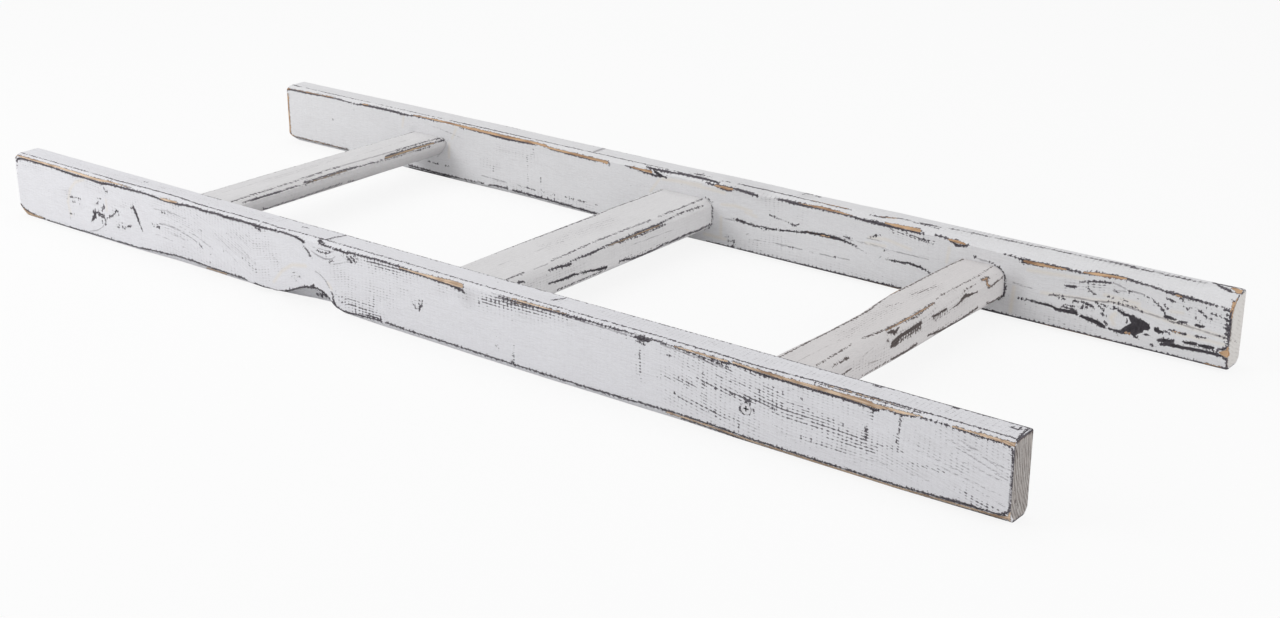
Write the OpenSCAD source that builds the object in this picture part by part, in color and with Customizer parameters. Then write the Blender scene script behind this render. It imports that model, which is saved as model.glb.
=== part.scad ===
// Decorative ladder in painted wood. It lies on the lower edges of its two rails.
// The rails run along X and the rungs along Y. The origin is the middle of the
// footprint, on the surface that the rails lie on. Lengths are millimetres.

/* [Rails] */
// Length of the front rail
front_rail_l = 1200; // [1000:10:1800]
// Length of the back rail
back_rail_l = 1198; // [1000:2:1800]
// How far in the back rail starts from the front rail's left end
back_rail_setback = 12; // [0:1:40]
// Height of both rails, the wide side of the timber
rail_h = 70; // [62:1:110]
// Thickness of both rails
rail_t = 30; // [28:1:45]
// Clear width between the rails, which is the length of the rungs
clear_w = 350; // [250:5:500]

/* [Worn arrises] */
// Width of the bevel along the front rail's upper outer arris
rail_bevel_w = 7; // [3:0.5:9]
// Drop of that bevel down the rail's face
rail_bevel_h = 3.5; // [2:0.5:6]
// Width and height of the bevel along every lower arris of the rails
lower_bevel = 6; // [2:0.5:6.5]
// Bevel along the upper arrises that stay nearly sharp
keen_bevel = 2; // [1:0.5:3]
// Round of the lower corner of the rails' left ends, which are the more worn
left_foot_r = 8; // [3:0.5:9]
// Round of the upper corner of the rails' left ends
left_top_r = 4; // [1:0.5:9]
// Round of the corners of the rails' right ends
right_end_r = 2.5; // [1:0.5:5]
// Round of the upright edges of all the rails' ends
upright_r = 1.5; // [0.5:0.5:4]
// Width of the back rail's upper inner bevel at its left end
wane_start_w = 6; // [3:0.5:9]
// Width of the same bevel at its right end
wane_end_w = 18; // [10:0.5:22]
// Drop of the same bevel at its right end
wane_end_h = 10; // [5:0.5:12]

/* [Knot hollow] */
// Place of the hollow's highest point, from the front rail's left end
hollow_at = 471; // [430:1:480]
// Height of the hollow in the rail's outer face
hollow_h = 21; // [12:0.5:24]
// Run-out of the hollow along the rail, to the left of its highest point
hollow_left_run = 56; // [35:1:75]
// Run-out of the hollow on its steep right side
hollow_right_run = 29; // [20:1:45]
// Drop of the hollow's centre line under the rail's lower edge
hollow_drop = 3; // [1:0.5:4]

/* [Rungs] */
// Height of the rungs' upper faces above the rails' lower edges
rung_top = 50; // [44:1:58]
// Radius of the rungs' upper left arrises
rung_left_r = 5; // [2:0.5:8]
// Width and height of the bevel along the rungs' lower arrises
rung_lower_bevel = 6; // [2:0.5:7]

/* [Left rung] */
// Middle of the left rung, from the front rail's left end
left_rung_at = 246.5; // [180:0.5:340]
// Width of the left rung
left_rung_w = 63; // [45:1:80]
// Thickness of the left rung
left_rung_t = 21; // [18:0.5:36]
// Radius of the left rung's upper right arris
left_rung_r = 5; // [2:0.5:6]
// Width of the wane under the left rung's right side
left_rung_wane_w = 9; // [4:0.5:14]
// Height of that wane
left_rung_wane_h = 12; // [6:0.5:12]

/* [Middle rung] */
// Middle of the middle rung, from the front rail's left end
middle_rung_at = 619.5; // [560:0.5:680]
// Width of the middle rung
middle_rung_w = 69; // [45:1:80]
// Thickness of the middle rung
middle_rung_t = 33; // [18:0.5:36]
// Radius of the middle rung's upper right arris
middle_rung_r = 9.5; // [3:0.5:12]

/* [Right rung] */
// Middle of the right rung, from the front rail's left end
right_rung_at = 967; // [890:0.5:1000]
// Width of the right rung
right_rung_w = 50; // [45:1:80]
// Thickness of the right rung
right_rung_t = 34; // [22:0.5:36]
// Radius of the right rung's upper right arris
right_rung_r = 14; // [4:0.5:15]

/* [Screws] */
// Length of a screw from the top of its head to its point
screw_l = 70; // [60:1:90]
// Diameter over the screw's thread
thread_d = 5; // [4:0.1:5]
// Diameter of the plain shank under the head
shank_d = 3.6; // [3:0.1:3.8]
// Length of the screw's threaded part, with its point
thread_l = 40; // [25:1:50]
// Length of the screw's point
point_l = 5; // [3:0.5:8]
// Diameter of the countersunk head
head_d = 10; // [8:0.1:10]
// Rim of the head, above its cone
head_rim = 0.6; // [0.3:0.1:1]
// Depth of the head's top below the rail's face
head_sink = 0.6; // [0.2:0.1:1.5]
// Width across the cross recess
recess_d = 5.4; // [4:0.1:6]
// Width of each slot of the cross recess
recess_slot = 1.3; // [0.8:0.1:1.5]
// Depth of the cross recess
recess_depth = 2.6; // [1.5:0.1:3]
// Clearance of the screw's thread in the rail's drilled hole, on the radius
drill_clearance = 0.2; // [0.1:0.05:0.5]
// Clearance of the thread in the rung's pilot hole, on the radius
pilot_clearance = 0.05; // [0.02:0.01:0.1]

/* [Hidden] */

$fn = 48;
overrun = 1;

paint_color = [0.86, 0.86, 0.87];
rung_color = [0.82, 0.81, 0.83];
screw_color = [0.78, 0.77, 0.76];

// Overall length, because the back rail stands proud of the front one at the right
reach = max(front_rail_l, back_rail_setback + back_rail_l);
front_rail_x = -reach / 2;
back_rail_x = front_rail_x + back_rail_setback;
inner_y = clear_w / 2;
outer_y = inner_y + rail_t;

// Each rung: its middle along the rails, its width, its thickness, the radius of its
// upper right arris and the width and height of its lower right bevel
RUNGS = [
    [front_rail_x + left_rung_at, left_rung_w, left_rung_t,
     left_rung_r, left_rung_wane_w, left_rung_wane_h],
    [front_rail_x + middle_rung_at, middle_rung_w, middle_rung_t,
     middle_rung_r, rung_lower_bevel, rung_lower_bevel],
    [front_rail_x + right_rung_at, right_rung_w, right_rung_t,
     right_rung_r, rung_lower_bevel, rung_lower_bevel],
];

// Place of each rung's screws in its end, across from its left side and up from its underside
SCREW_PLACE_SHARES = [[0.35, 0.33], [0.26, 0.53], [0.43, 0.44]];

SCREW_NODES = [
    ["left_front_screw", "middle_front_screw", "right_front_screw"],
    ["left_back_screw", "middle_back_screw", "right_back_screw"],
];

function rung_middle(k) = RUNGS[k][0];
function rung_w(k) = RUNGS[k][1];
function rung_t(k) = RUNGS[k][2];
function rung_right_r(k) = RUNGS[k][3];
function rung_wane_w(k) = RUNGS[k][4];
function rung_wane_h(k) = RUNGS[k][5];
function rung_left(k) = rung_middle(k) - rung_w(k) / 2;
function rung_bottom(k) = rung_top - rung_t(k);
function screw_x(k) = rung_left(k) + rung_w(k) * SCREW_PLACE_SHARES[k][0];
function screw_z(k) = rung_bottom(k) + rung_t(k) * SCREW_PLACE_SHARES[k][1];

// Section of a rail from the lower corner of one face, with the bevel of that
// face's upper arris given as a width and a height
function rail_section(bevel_w, bevel_h) = [
    [lower_bevel, 0],
    [rail_t - lower_bevel, 0],
    [rail_t, lower_bevel],
    [rail_t, rail_h - keen_bevel],
    [rail_t - keen_bevel, rail_h],
    [bevel_w, rail_h],
    [0, rail_h - bevel_h],
    [0, lower_bevel],
];

// Waste that rounds one corner of an outline, the corner at the origin
module corner_waste(r) {
    difference() {
        translate([-overrun, -overrun])
            square(r + overrun);
        translate([r, r])
            circle(r);
    }
}

// The same waste at the corner of a rectangle that lies on the chosen sides
module far_corner_waste(l, w, r, right, top) {
    translate([right ? l : 0, top ? w : 0])
        mirror([right ? 1 : 0, 0])
            mirror([0, top ? 1 : 0])
                corner_waste(r);
}

// Rectangle whose corners are rounded by different wear: the lower and the upper
// one at its left, and both at its right
module worn_rectangle(l, w, left_low_r, left_high_r, right_r) {
    difference() {
        square([l, w]);
        far_corner_waste(l, w, left_low_r, false, false);
        far_corner_waste(l, w, left_high_r, false, true);
        for (top = [false, true])
            far_corner_waste(l, w, right_r, true, top);
    }
}

// Section of rung k from its lower left corner, rounded above and bevelled below
module rung_section(k) {
    w = rung_w(k);
    t = rung_t(k);
    difference() {
        polygon([
            [rung_lower_bevel, 0],
            [w - rung_wane_w(k), 0],
            [w, rung_wane_h(k)],
            [w, t],
            [0, t],
            [0, rung_lower_bevel],
        ]);
        far_corner_waste(w, t, rung_left_r, false, true);
        far_corner_waste(w, t, rung_right_r(k), true, true);
    }
}

// A rail from its left end: the section along X, cut to its worn ends
// as they show in the side view and in the plan view
module rail_blank(l, section) {
    intersection() {
        rotate([90, 0, 90])
            linear_extrude(l)
                polygon(section);
        translate([0, rail_t + overrun, 0])
            rotate([90, 0, 0])
                linear_extrude(rail_t + 2 * overrun)
                    worn_rectangle(l, rail_h, left_foot_r, left_top_r, right_end_r);
        translate([0, 0, -overrun])
            linear_extrude(rail_h + 2 * overrun)
                worn_rectangle(l, rail_t, upright_r, upright_r, upright_r);
    }
}

// Hollow of an edge knot: a cove turned about the lower outer arris. Its radius
// falls off to the left of its highest point as a square, and to the right, where
// it ends more steeply, as a cube.
hollow_r = hollow_h + hollow_drop;
hollow_steps = 12;
hollow_left_power = 2;
hollow_right_power = 3;
function hollow_radius(share, power) = hollow_r * (1 - pow(share, power));
hollow_profile = concat(
    [for (k = [0 : hollow_steps])
        let (share = 1 - k / hollow_steps)
            [hollow_radius(share, hollow_left_power), -hollow_left_run * share]],
    [for (k = [1 : hollow_steps])
        let (share = k / hollow_steps)
            [hollow_radius(share, hollow_right_power), hollow_right_run * share]]
);

module knot_hollow() {
    rotate([0, 90, 0])
        rotate_extrude($fn = 96)
            polygon(hollow_profile);
}

// Bevel whose width grows along the rail from its left end, as a planed wane does.
// One flat cut makes it: the slope across the rail stays and the cut falls lengthwise.
wane_slope = atan2(wane_end_h, wane_end_w);
wane_start_h = wane_end_h * wane_start_w / wane_end_w;
wane_tilt = atan2(wane_end_h - wane_start_h, back_rail_l);
module widening_bevel() {
    waste = 2 * wane_end_w;
    translate([0, 0, rail_h - wane_start_h])
        rotate([0, wane_tilt, 0])
            rotate([wane_slope, 0, 0])
                translate([-waste, -waste, 0])
                    cube([back_rail_l + 2 * waste, 3 * waste, waste]);
}

// A screw's outline from its point up to its head, on one side of its axis.
// The head's top is at height 0 and the screw runs down from it.
neck_z = -head_rim - (head_d - shank_d) / 2;
module screw_body() {
    rotate_extrude()
        polygon([
            [0, 0],
            [head_d / 2, 0],
            [head_d / 2, -head_rim],
            [shank_d / 2, neck_z],
            [shank_d / 2, thread_l - screw_l],
            [thread_d / 2, thread_l - screw_l],
            [thread_d / 2, point_l - screw_l],
            [0, -screw_l],
        ]);
}

// Two crossed slots that narrow towards the bottom of the recess
module cross_recess() {
    widening = (recess_d - recess_slot) / recess_depth;
    intersection() {
        union() {
            for (turn = [0, 90])
                rotate(turn)
                    translate([-recess_d / 2, -recess_slot / 2, -recess_depth])
                        cube([recess_d, recess_slot, recess_depth + overrun]);
        }
        translate([0, 0, -recess_depth])
            cylinder(
                h = recess_depth + overrun,
                d1 = recess_slot,
                d2 = recess_d + widening * overrun);
    }
}

// Countersunk hole through a rail, seen from its outer face at height 0
module countersunk_hole() {
    bore_r = thread_d / 2 + drill_clearance;
    head_gap_r = head_d / 2 + pilot_clearance;
    seat_z = -head_sink - head_rim;
    rotate_extrude()
        polygon([
            [0, overrun],
            [head_gap_r, overrun],
            [head_gap_r, seat_z - pilot_clearance],
            [bore_r, seat_z - pilot_clearance - (head_gap_r - bore_r)],
            [bore_r, -rail_t - overrun],
            [0, -rail_t - overrun],
        ]);
}

// Pilot hole in a rung's end, from its end face at height 0
module pilot_hole() {
    reach_in = screw_l + head_sink - rail_t;
    pilot_r = thread_d / 2 + pilot_clearance;
    rotate_extrude()
        polygon([
            [0, overrun],
            [pilot_r, overrun],
            [pilot_r, point_l - reach_in],
            [0, -reach_in - pilot_clearance],
        ]);
}

// Turns a thing that runs down from height 0 so that it runs into the ladder at
// rung k's front joint, from a distance y before the middle, or mirrors it to the back
module at_joint(k, y, back) {
    mirror([0, back ? 1 : 0, 0])
        translate([screw_x(k), -y, screw_z(k)])
            rotate([90, 0, 0])
                children();
}

module front_rail() {
    color(paint_color)
        difference() {
            translate([front_rail_x, -outer_y, 0])
                difference() {
                    rail_blank(front_rail_l, rail_section(rail_bevel_w, rail_bevel_h));
                    translate([hollow_at, 0, -hollow_drop])
                        knot_hollow();
                }
            for (k = [0 : len(RUNGS) - 1])
                at_joint(k, outer_y, false)
                    countersunk_hole();
        }
}

module back_rail() {
    color(paint_color)
        difference() {
            translate([back_rail_x, inner_y, 0])
                difference() {
                    rail_blank(back_rail_l, rail_section(keen_bevel, keen_bevel));
                    widening_bevel();
                }
            for (k = [0 : len(RUNGS) - 1])
                at_joint(k, outer_y, true)
                    countersunk_hole();
        }
}

module rung(k) {
    color(rung_color)
        difference() {
            translate([rung_left(k), inner_y, rung_bottom(k)])
                rotate([90, 0, 0])
                    linear_extrude(clear_w)
                        rung_section(k);
            for (back = [false, true])
                at_joint(k, inner_y, back)
                    pilot_hole();
        }
}

module left_rung() {
    rung(0);
}

module middle_rung() {
    rung(1);
}

module right_rung() {
    rung(2);
}

module screw(k, back) {
    color(screw_color)
        at_joint(k, outer_y - head_sink, back)
            difference() {
                screw_body();
                cross_recess();
            }
}

front_rail();
back_rail();
left_rung();
middle_rung();
right_rung();
for (side = [0, 1])
    for (k = [0 : len(RUNGS) - 1])
        screw(k, side == 1);
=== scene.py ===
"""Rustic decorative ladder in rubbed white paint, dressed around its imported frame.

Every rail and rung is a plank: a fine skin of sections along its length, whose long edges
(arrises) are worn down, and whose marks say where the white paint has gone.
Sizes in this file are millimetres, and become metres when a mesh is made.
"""

import logging
import math
from collections.abc import Callable
from dataclasses import dataclass
from enum import Enum

import bpy
import numpy as np
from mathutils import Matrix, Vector

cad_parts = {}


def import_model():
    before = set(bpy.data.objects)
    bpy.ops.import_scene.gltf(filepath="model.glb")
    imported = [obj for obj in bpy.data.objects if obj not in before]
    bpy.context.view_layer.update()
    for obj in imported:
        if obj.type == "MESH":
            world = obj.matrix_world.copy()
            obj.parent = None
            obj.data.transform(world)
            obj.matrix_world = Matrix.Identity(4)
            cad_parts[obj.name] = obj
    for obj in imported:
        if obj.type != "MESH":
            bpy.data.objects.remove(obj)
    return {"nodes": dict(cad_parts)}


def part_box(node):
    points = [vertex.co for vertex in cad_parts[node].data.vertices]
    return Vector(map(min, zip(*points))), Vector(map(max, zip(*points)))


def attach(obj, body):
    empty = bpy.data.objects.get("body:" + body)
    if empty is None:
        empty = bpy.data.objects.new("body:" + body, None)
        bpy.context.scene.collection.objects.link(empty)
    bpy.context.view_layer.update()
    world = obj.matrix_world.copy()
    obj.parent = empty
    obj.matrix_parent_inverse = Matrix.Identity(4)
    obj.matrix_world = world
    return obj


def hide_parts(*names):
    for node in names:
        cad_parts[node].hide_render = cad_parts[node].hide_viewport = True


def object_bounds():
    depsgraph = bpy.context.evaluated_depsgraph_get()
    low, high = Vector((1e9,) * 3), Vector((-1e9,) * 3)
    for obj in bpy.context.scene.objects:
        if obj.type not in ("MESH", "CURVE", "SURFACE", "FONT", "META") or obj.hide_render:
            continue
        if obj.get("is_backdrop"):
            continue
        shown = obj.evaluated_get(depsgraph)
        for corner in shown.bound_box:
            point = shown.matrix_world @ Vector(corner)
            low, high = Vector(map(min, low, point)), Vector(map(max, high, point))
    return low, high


LOG = logging.getLogger("ladder")
MM = 0.001
# The half widths of marks are written in tenths of a millimetre
TENTHS = 10

Color = tuple[float, float, float]
Spot = tuple[float, float, float]
Stop = tuple[float, float]
Run = tuple[float, float, float, float]


def shade(red: int, green: int, blue: int) -> Color:
    """Returns the linear colour of a colour as it shows on screen, each part 0 to 255."""
    parts = [part / 255 for part in (red, green, blue)]
    return tuple(p / 12.92 if p <= 0.04045 else ((p + 0.055) / 1.055) ** 2.4 for p in parts)


def placed(name: str, data: bpy.types.ID) -> bpy.types.Object:
    """Links a new object into the scene.

    Args:
        name: its name.
        data: its mesh, lamp or lens.

    Returns:
        The object.
    """
    made = bpy.data.objects.new(name, data)
    bpy.context.scene.collection.objects.link(made)
    return made


class Side(Enum):
    """The faces of a plank, as (axis, whether at the high end); axes are along, across, up."""

    LOW = (1, False)
    HIGH = (1, True)
    TOP = (2, True)
    START = (0, False)
    END = (0, True)


class Coat(Enum):
    """What shows where the white paint is gone or thin. The value names its mesh attribute."""

    UNDERCOAT = "dark"
    CRACK = "crack"
    BARE = "bare"
    STAIN = "stain"
    GRAIN = "grain"
    # Greys the paint: real dust, and also painted shade on a rung's side and beside a rung's end
    DUST_AND_SHADE = "dust"
    HAIR = "hair"
    WEAVE = "weave"
    PAINT = "paint"

    def mark(self, *spots: Spot) -> "Mark":
        """Makes a mark of this coat.

        Args:
            *spots: the points it runs through, each with its half width in tenths of a millimetre.

        Returns:
            The mark, with its half widths in millimetres.
        """
        return Mark(self, tuple((first, second, half / TENTHS) for first, second, half in spots))


# How far, in mm, each coat's field falls off beyond a mark's edge
FALL_OFF = {
    Coat.UNDERCOAT: 2.5, Coat.CRACK: 2.5, Coat.BARE: 2.5, Coat.STAIN: 2.4, Coat.HAIR: 2.0,
    Coat.GRAIN: 9.0, Coat.DUST_AND_SHADE: 12.0, Coat.WEAVE: 3.0, Coat.PAINT: 2.0,
}


@dataclass(frozen=True)
class Mark:
    """One mark on a plank's face.

    Attributes:
        coat: what shows there.
        spots: the points it runs through, each with its half width. On an upright long side
            a point is (along, up), on the top it is (along, across), on an end it is
            (across, up). Across is counted from the plank's low side. A face that the camera
            sees is read in perspective: a point on a bevel or in a hollow counts where it
            shows on the face's plane.
    """

    coat: Coat
    spots: tuple[Spot, ...]


# Marks of the charcoal undercoat, of torn or cracked wood, of bare pine, of paint that resin has
# yellowed, of thin paint that shows the grain's specks, of paint greyed by dust or by painted shade,
# of fine lines through the paint, of undercoat on the crests of the grain and the saw's ripples, and
# of paint left over wear
dark, crack, bare, stain, grain, dust, hair, weave, paint = (coat.mark for coat in Coat)


@dataclass(frozen=True)
class Course:
    """A size that changes along a plank, in straight runs between given stops."""

    stops: tuple[Stop, ...]

    def at(self, along: np.ndarray) -> np.ndarray:
        """Returns the size at each place along the plank."""
        places, sizes = zip(*self.stops)
        return np.interp(along, places, sizes)

    def traced(self, mark: Callable[..., Mark], *runs: Run) -> tuple[Mark, ...]:
        """Follows this course with marks.

        Args:
            mark: makes a mark of the wanted coat.
            *runs: for each mark, where it begins and ends along the plank, how far it lies
                beyond the course, and its half width in tenths of a millimetre.

        Returns:
            The marks, with a spot at each stop and at their ends.
        """
        marks = []
        for start, end, lift, half in runs:
            places = [start, *[place for place, _ in self.stops if start < place < end], end]
            sizes = self.at(np.array(places))
            marks.append(mark(*((place, float(size) + lift, half) for place, size in zip(places, sizes))))
        return tuple(marks)


def level(size: float) -> Course:
    """Returns a course that keeps one size."""
    return Course(((0.0, size),))


class Drift:
    """Smooth seeded unevenness over two lengths, from 0 to 1."""

    LATTICE = 64

    def __init__(self, seed: int) -> None:
        """Fills the lattice of this unevenness from its seed."""
        self.table = np.random.default_rng(seed).random((self.LATTICE, self.LATTICE))

    def at(self, u: np.ndarray, v: np.ndarray) -> np.ndarray:
        """Works out the unevenness at some places.

        Args:
            u: the places' first numbers, in lattice steps.
            v: their second numbers.

        Returns:
            The unevenness there.
        """
        u, v = np.broadcast_arrays(u, v)
        iu, iv = np.floor(u).astype(int), np.floor(v).astype(int)
        fu, fv = u - iu, v - iv
        fu, fv = fu * fu * (3 - 2 * fu), fv * fv * (3 - 2 * fv)
        iu, iv, ju, jv = (place % self.LATTICE for place in (iu, iv, iu + 1, iv + 1))
        near = self.table[iu, iv] * (1 - fu) + self.table[ju, iv] * fu
        far = self.table[iu, jv] * (1 - fu) + self.table[ju, jv] * fu
        return near * (1 - fv) + far * fv


@dataclass(frozen=True)
class Knot:
    """A knot that the grain runs round.

    Attributes:
        along: its place along the plank.
        up: its height.
        reach_along: how far along the plank it bends the grain.
        reach_up: how far up and down it bends the grain.
        push: share of the way that grain lines are pushed outwards.
    """

    along: float
    up: float
    reach_along: float
    reach_up: float
    push: float = 0.8

    def bend(self, along: np.ndarray, up: np.ndarray) -> np.ndarray:
        """Returns how far each point's grain line comes from nearer the knot's middle."""
        far = ((along - self.along) / self.reach_along) ** 2 + ((up - self.up) / self.reach_up) ** 2
        return -self.push * (up - self.up) * np.exp(-far)


@dataclass(frozen=True)
class Arris:
    """How one long edge of a plank is worn.

    Attributes:
        across: width of its bevel over the top or under face.
        down: height of its bevel on the upright side.
        round_share: 1 for an elliptical round, 0 for a flat bevel, -1 for a scooped hollow.
        steps: number of mesh strips over it.
    """

    across: Course
    down: Course
    round_share: Course
    steps: int


@dataclass(frozen=True)
class Viewpoint:
    """The camera's place and lens.

    Attributes:
        lens: focal length for a sensor 36 mm wide.
        turn: angle round the ladder, in degrees from straight in front.
        lift: angle above the floor.
        distance: from the camera to the point it looks at.
        aim: the point it looks at.
    """

    lens: float = 54.42
    turn: float = 38.0
    lift: float = 20.9
    distance: float = 1743.8
    aim: Spot = (160.7, -88.6, 35.0)

    def back(self) -> Vector:
        """Works out where the camera stands from the point it looks at.

        Returns:
            The unit direction from that point to the camera.
        """
        turn, lift = math.radians(self.turn), math.radians(self.lift)
        flat = math.cos(lift)
        return Vector((math.sin(turn) * flat, -math.cos(turn) * flat, math.sin(lift)))

    def eye(self) -> Vector:
        """Returns the camera's place."""
        return Vector(self.aim) + self.back() * self.distance


VIEW = Viewpoint()


class Wire:
    """A value between shader nodes, which can be added to and multiplied by others."""

    def __init__(self, board: "NodeBoard", socket: bpy.types.NodeSocket) -> None:
        """Holds one output socket and the board that it is on."""
        self.board = board
        self.socket = socket

    def __add__(self, other: "Wire | float") -> "Wire":
        """Returns the sum."""
        return self.board.math("ADD", self, other)

    def __sub__(self, other: "Wire | float") -> "Wire":
        """Returns the difference."""
        return self.board.math("SUBTRACT", self, other)

    def __mul__(self, other: "Wire | float") -> "Wire":
        """Returns the product."""
        return self.board.math("MULTIPLY", self, other)

    def top(self, other: "Wire | float") -> "Wire":
        """Returns the larger of the two."""
        return self.board.math("MAXIMUM", self, other)

    def rise(self, low: float, high: float) -> "Wire":
        """Turns the value into a smooth step.

        Args:
            low: where the step is still 0.
            high: where it is 1.

        Returns:
            The step.
        """
        step = self.board.node("ShaderNodeMapRange", interpolation_type="SMOOTHSTEP", clamp=True)
        for name, value in (("Value", self), ("From Min", low), ("From Max", high)):
            self.board.feed(step.inputs[name], value)
        return Wire(self.board, step.outputs["Result"])


class NodeBoard:
    """The node tree of a material or of the world, written as sums of wires."""

    def __init__(self, owner: "bpy.types.Material | bpy.types.World") -> None:
        """Empties a node tree.

        Args:
            owner: the material or the world that has the tree.
        """
        self.owner = owner
        owner.use_nodes = True
        self.tree = owner.node_tree
        self.tree.nodes.clear()

    def node(self, kind: str, **settings: object) -> bpy.types.Node:
        """Adds a node.

        Args:
            kind: Blender's name for the node.
            **settings: the node's own settings.

        Returns:
            The new node.
        """
        made = self.tree.nodes.new(kind)
        for key, value in settings.items():
            setattr(made, key, value)
        return made

    def read(self, kind: str, output: str, **settings: object) -> Wire:
        """Adds a node that needs no input.

        Args:
            kind: Blender's name for the node.
            output: the name of its output.
            **settings: the node's own settings.

        Returns:
            The value at that output.
        """
        return Wire(self, self.node(kind, **settings).outputs[output])

    def feed(self, socket: bpy.types.NodeSocket, value: object) -> None:
        """Links a wire to a socket, or sets the socket to a plain value.

        Args:
            socket: the socket.
            value: the wire or the plain value.
        """
        if isinstance(value, Wire):
            self.tree.links.new(value.socket, socket)
        else:
            socket.default_value = value

    def math(self, operation: str, first: "Wire | float", second: "Wire | float" = 0.0) -> Wire:
        """Adds a Math node.

        Args:
            operation: Blender's name for what it does.
            first: its first value.
            second: its second value.

        Returns:
            The result.
        """
        made = self.node("ShaderNodeMath", operation=operation)
        self.feed(made.inputs[0], first)
        self.feed(made.inputs[1], second)
        return Wire(self, made.outputs[0])

    def vector(self, operation: str, place: Wire, other: Spot) -> Wire:
        """Adds a Vector Math node.

        Args:
            operation: Blender's name for what it does.
            place: its first vector.
            other: its second vector.

        Returns:
            The result, a vector or a length.
        """
        made = self.node("ShaderNodeVectorMath", operation=operation)
        self.feed(made.inputs[0], place)
        self.feed(made.inputs[1], other)
        return Wire(self, made.outputs["Value" if operation == "LENGTH" else "Vector"])

    def field(self, coat: Coat) -> Wire:
        """Returns a mark field of the mesh."""
        return self.read("ShaderNodeAttribute", "Fac", attribute_name=coat.value)

    def wood(self) -> Wire:
        """Returns each point's place in the plank's own wood, in mm."""
        return self.read("ShaderNodeAttribute", "Vector", attribute_name="wood")

    def own_place(self) -> Wire:
        """Returns each point's place in its object's own coordinates, in mm."""
        return self.vector("DIVIDE", self.read("ShaderNodeTexCoord", "Object"), (MM, MM, MM))

    def join(self, *parts: "Wire | float") -> Wire:
        """Puts a place together.

        Args:
            *parts: its X, Y and Z.

        Returns:
            The place.
        """
        made = self.node("ShaderNodeCombineXYZ")
        for socket, value in zip(made.inputs, parts):
            self.feed(socket, value)
        return Wire(self, made.outputs[0])

    def part(self, place: Wire, axis: str) -> Wire:
        """Takes one number out of a place.

        Args:
            place: the place.
            axis: X, Y or Z.

        Returns:
            That number.
        """
        made = self.node("ShaderNodeSeparateXYZ")
        self.feed(made.inputs[0], place)
        return Wire(self, made.outputs[axis])

    def noise(self, place: Wire, cell: Spot, detail: float = 2.0, rough: float = 0.5) -> Wire:
        """Reads a noise with stretched cells.

        Args:
            place: the point, in mm.
            cell: the cell's length in mm along each axis.
            detail: number of finer layers.
            rough: share of each finer layer.

        Returns:
            A value around 0.5.
        """
        made = self.node("ShaderNodeTexNoise", noise_dimensions="3D", normalize=True)
        self.feed(made.inputs["Vector"], self.vector("DIVIDE", place, cell))
        for name, value in (("Scale", 1.0), ("Detail", detail), ("Roughness", rough)):
            self.feed(made.inputs[name], value)
        return Wire(self, made.outputs["Fac"])

    def mix(self, share: Wire, first: "Wire | Color", second: "Wire | Color") -> Wire:
        """Mixes two colours.

        Args:
            share: share of the second colour.
            first: the first colour.
            second: the second colour.

        Returns:
            The mixed colour.
        """
        made = self.node("ShaderNodeMix", data_type="RGBA", clamp_factor=True)
        self.feed(made.inputs["Factor"], share)
        sockets = [socket for socket in made.inputs if socket.type == "RGBA"]
        for socket, value in zip(sockets, (first, second)):
            self.feed(socket, value if isinstance(value, Wire) else (*value, 1.0))
        return Wire(self, [socket for socket in made.outputs if socket.type == "RGBA"][0])

    def surface(self, color: Wire, rough: Wire, height: Wire, specular: float) -> bpy.types.Material:
        """Ends the board in a Principled shader.

        Args:
            color: base colour.
            rough: roughness.
            height: height of the fine relief, in mm.
            specular: specular level, the same all over.

        Returns:
            The finished material.
        """
        shader = self.node("ShaderNodeBsdfPrincipled")
        self.feed(shader.inputs["Base Color"], color)
        self.feed(shader.inputs["Roughness"], rough)
        shader.inputs["Specular IOR Level"].default_value = specular
        bump = self.node("ShaderNodeBump")
        bump.inputs["Strength"].default_value = 1.0
        bump.inputs["Distance"].default_value = MM
        self.feed(bump.inputs["Height"], height)
        self.tree.links.new(bump.outputs["Normal"], shader.inputs["Normal"])
        return self.close(shader)

    def close(self, shader: bpy.types.Node, kind: str = "ShaderNodeOutputMaterial") -> bpy.types.ID:
        """Links a shader to a new output node, and returns the tree's owner."""
        self.tree.links.new(shader.outputs[0], self.node(kind).inputs["Surface"])
        return self.owner


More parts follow.
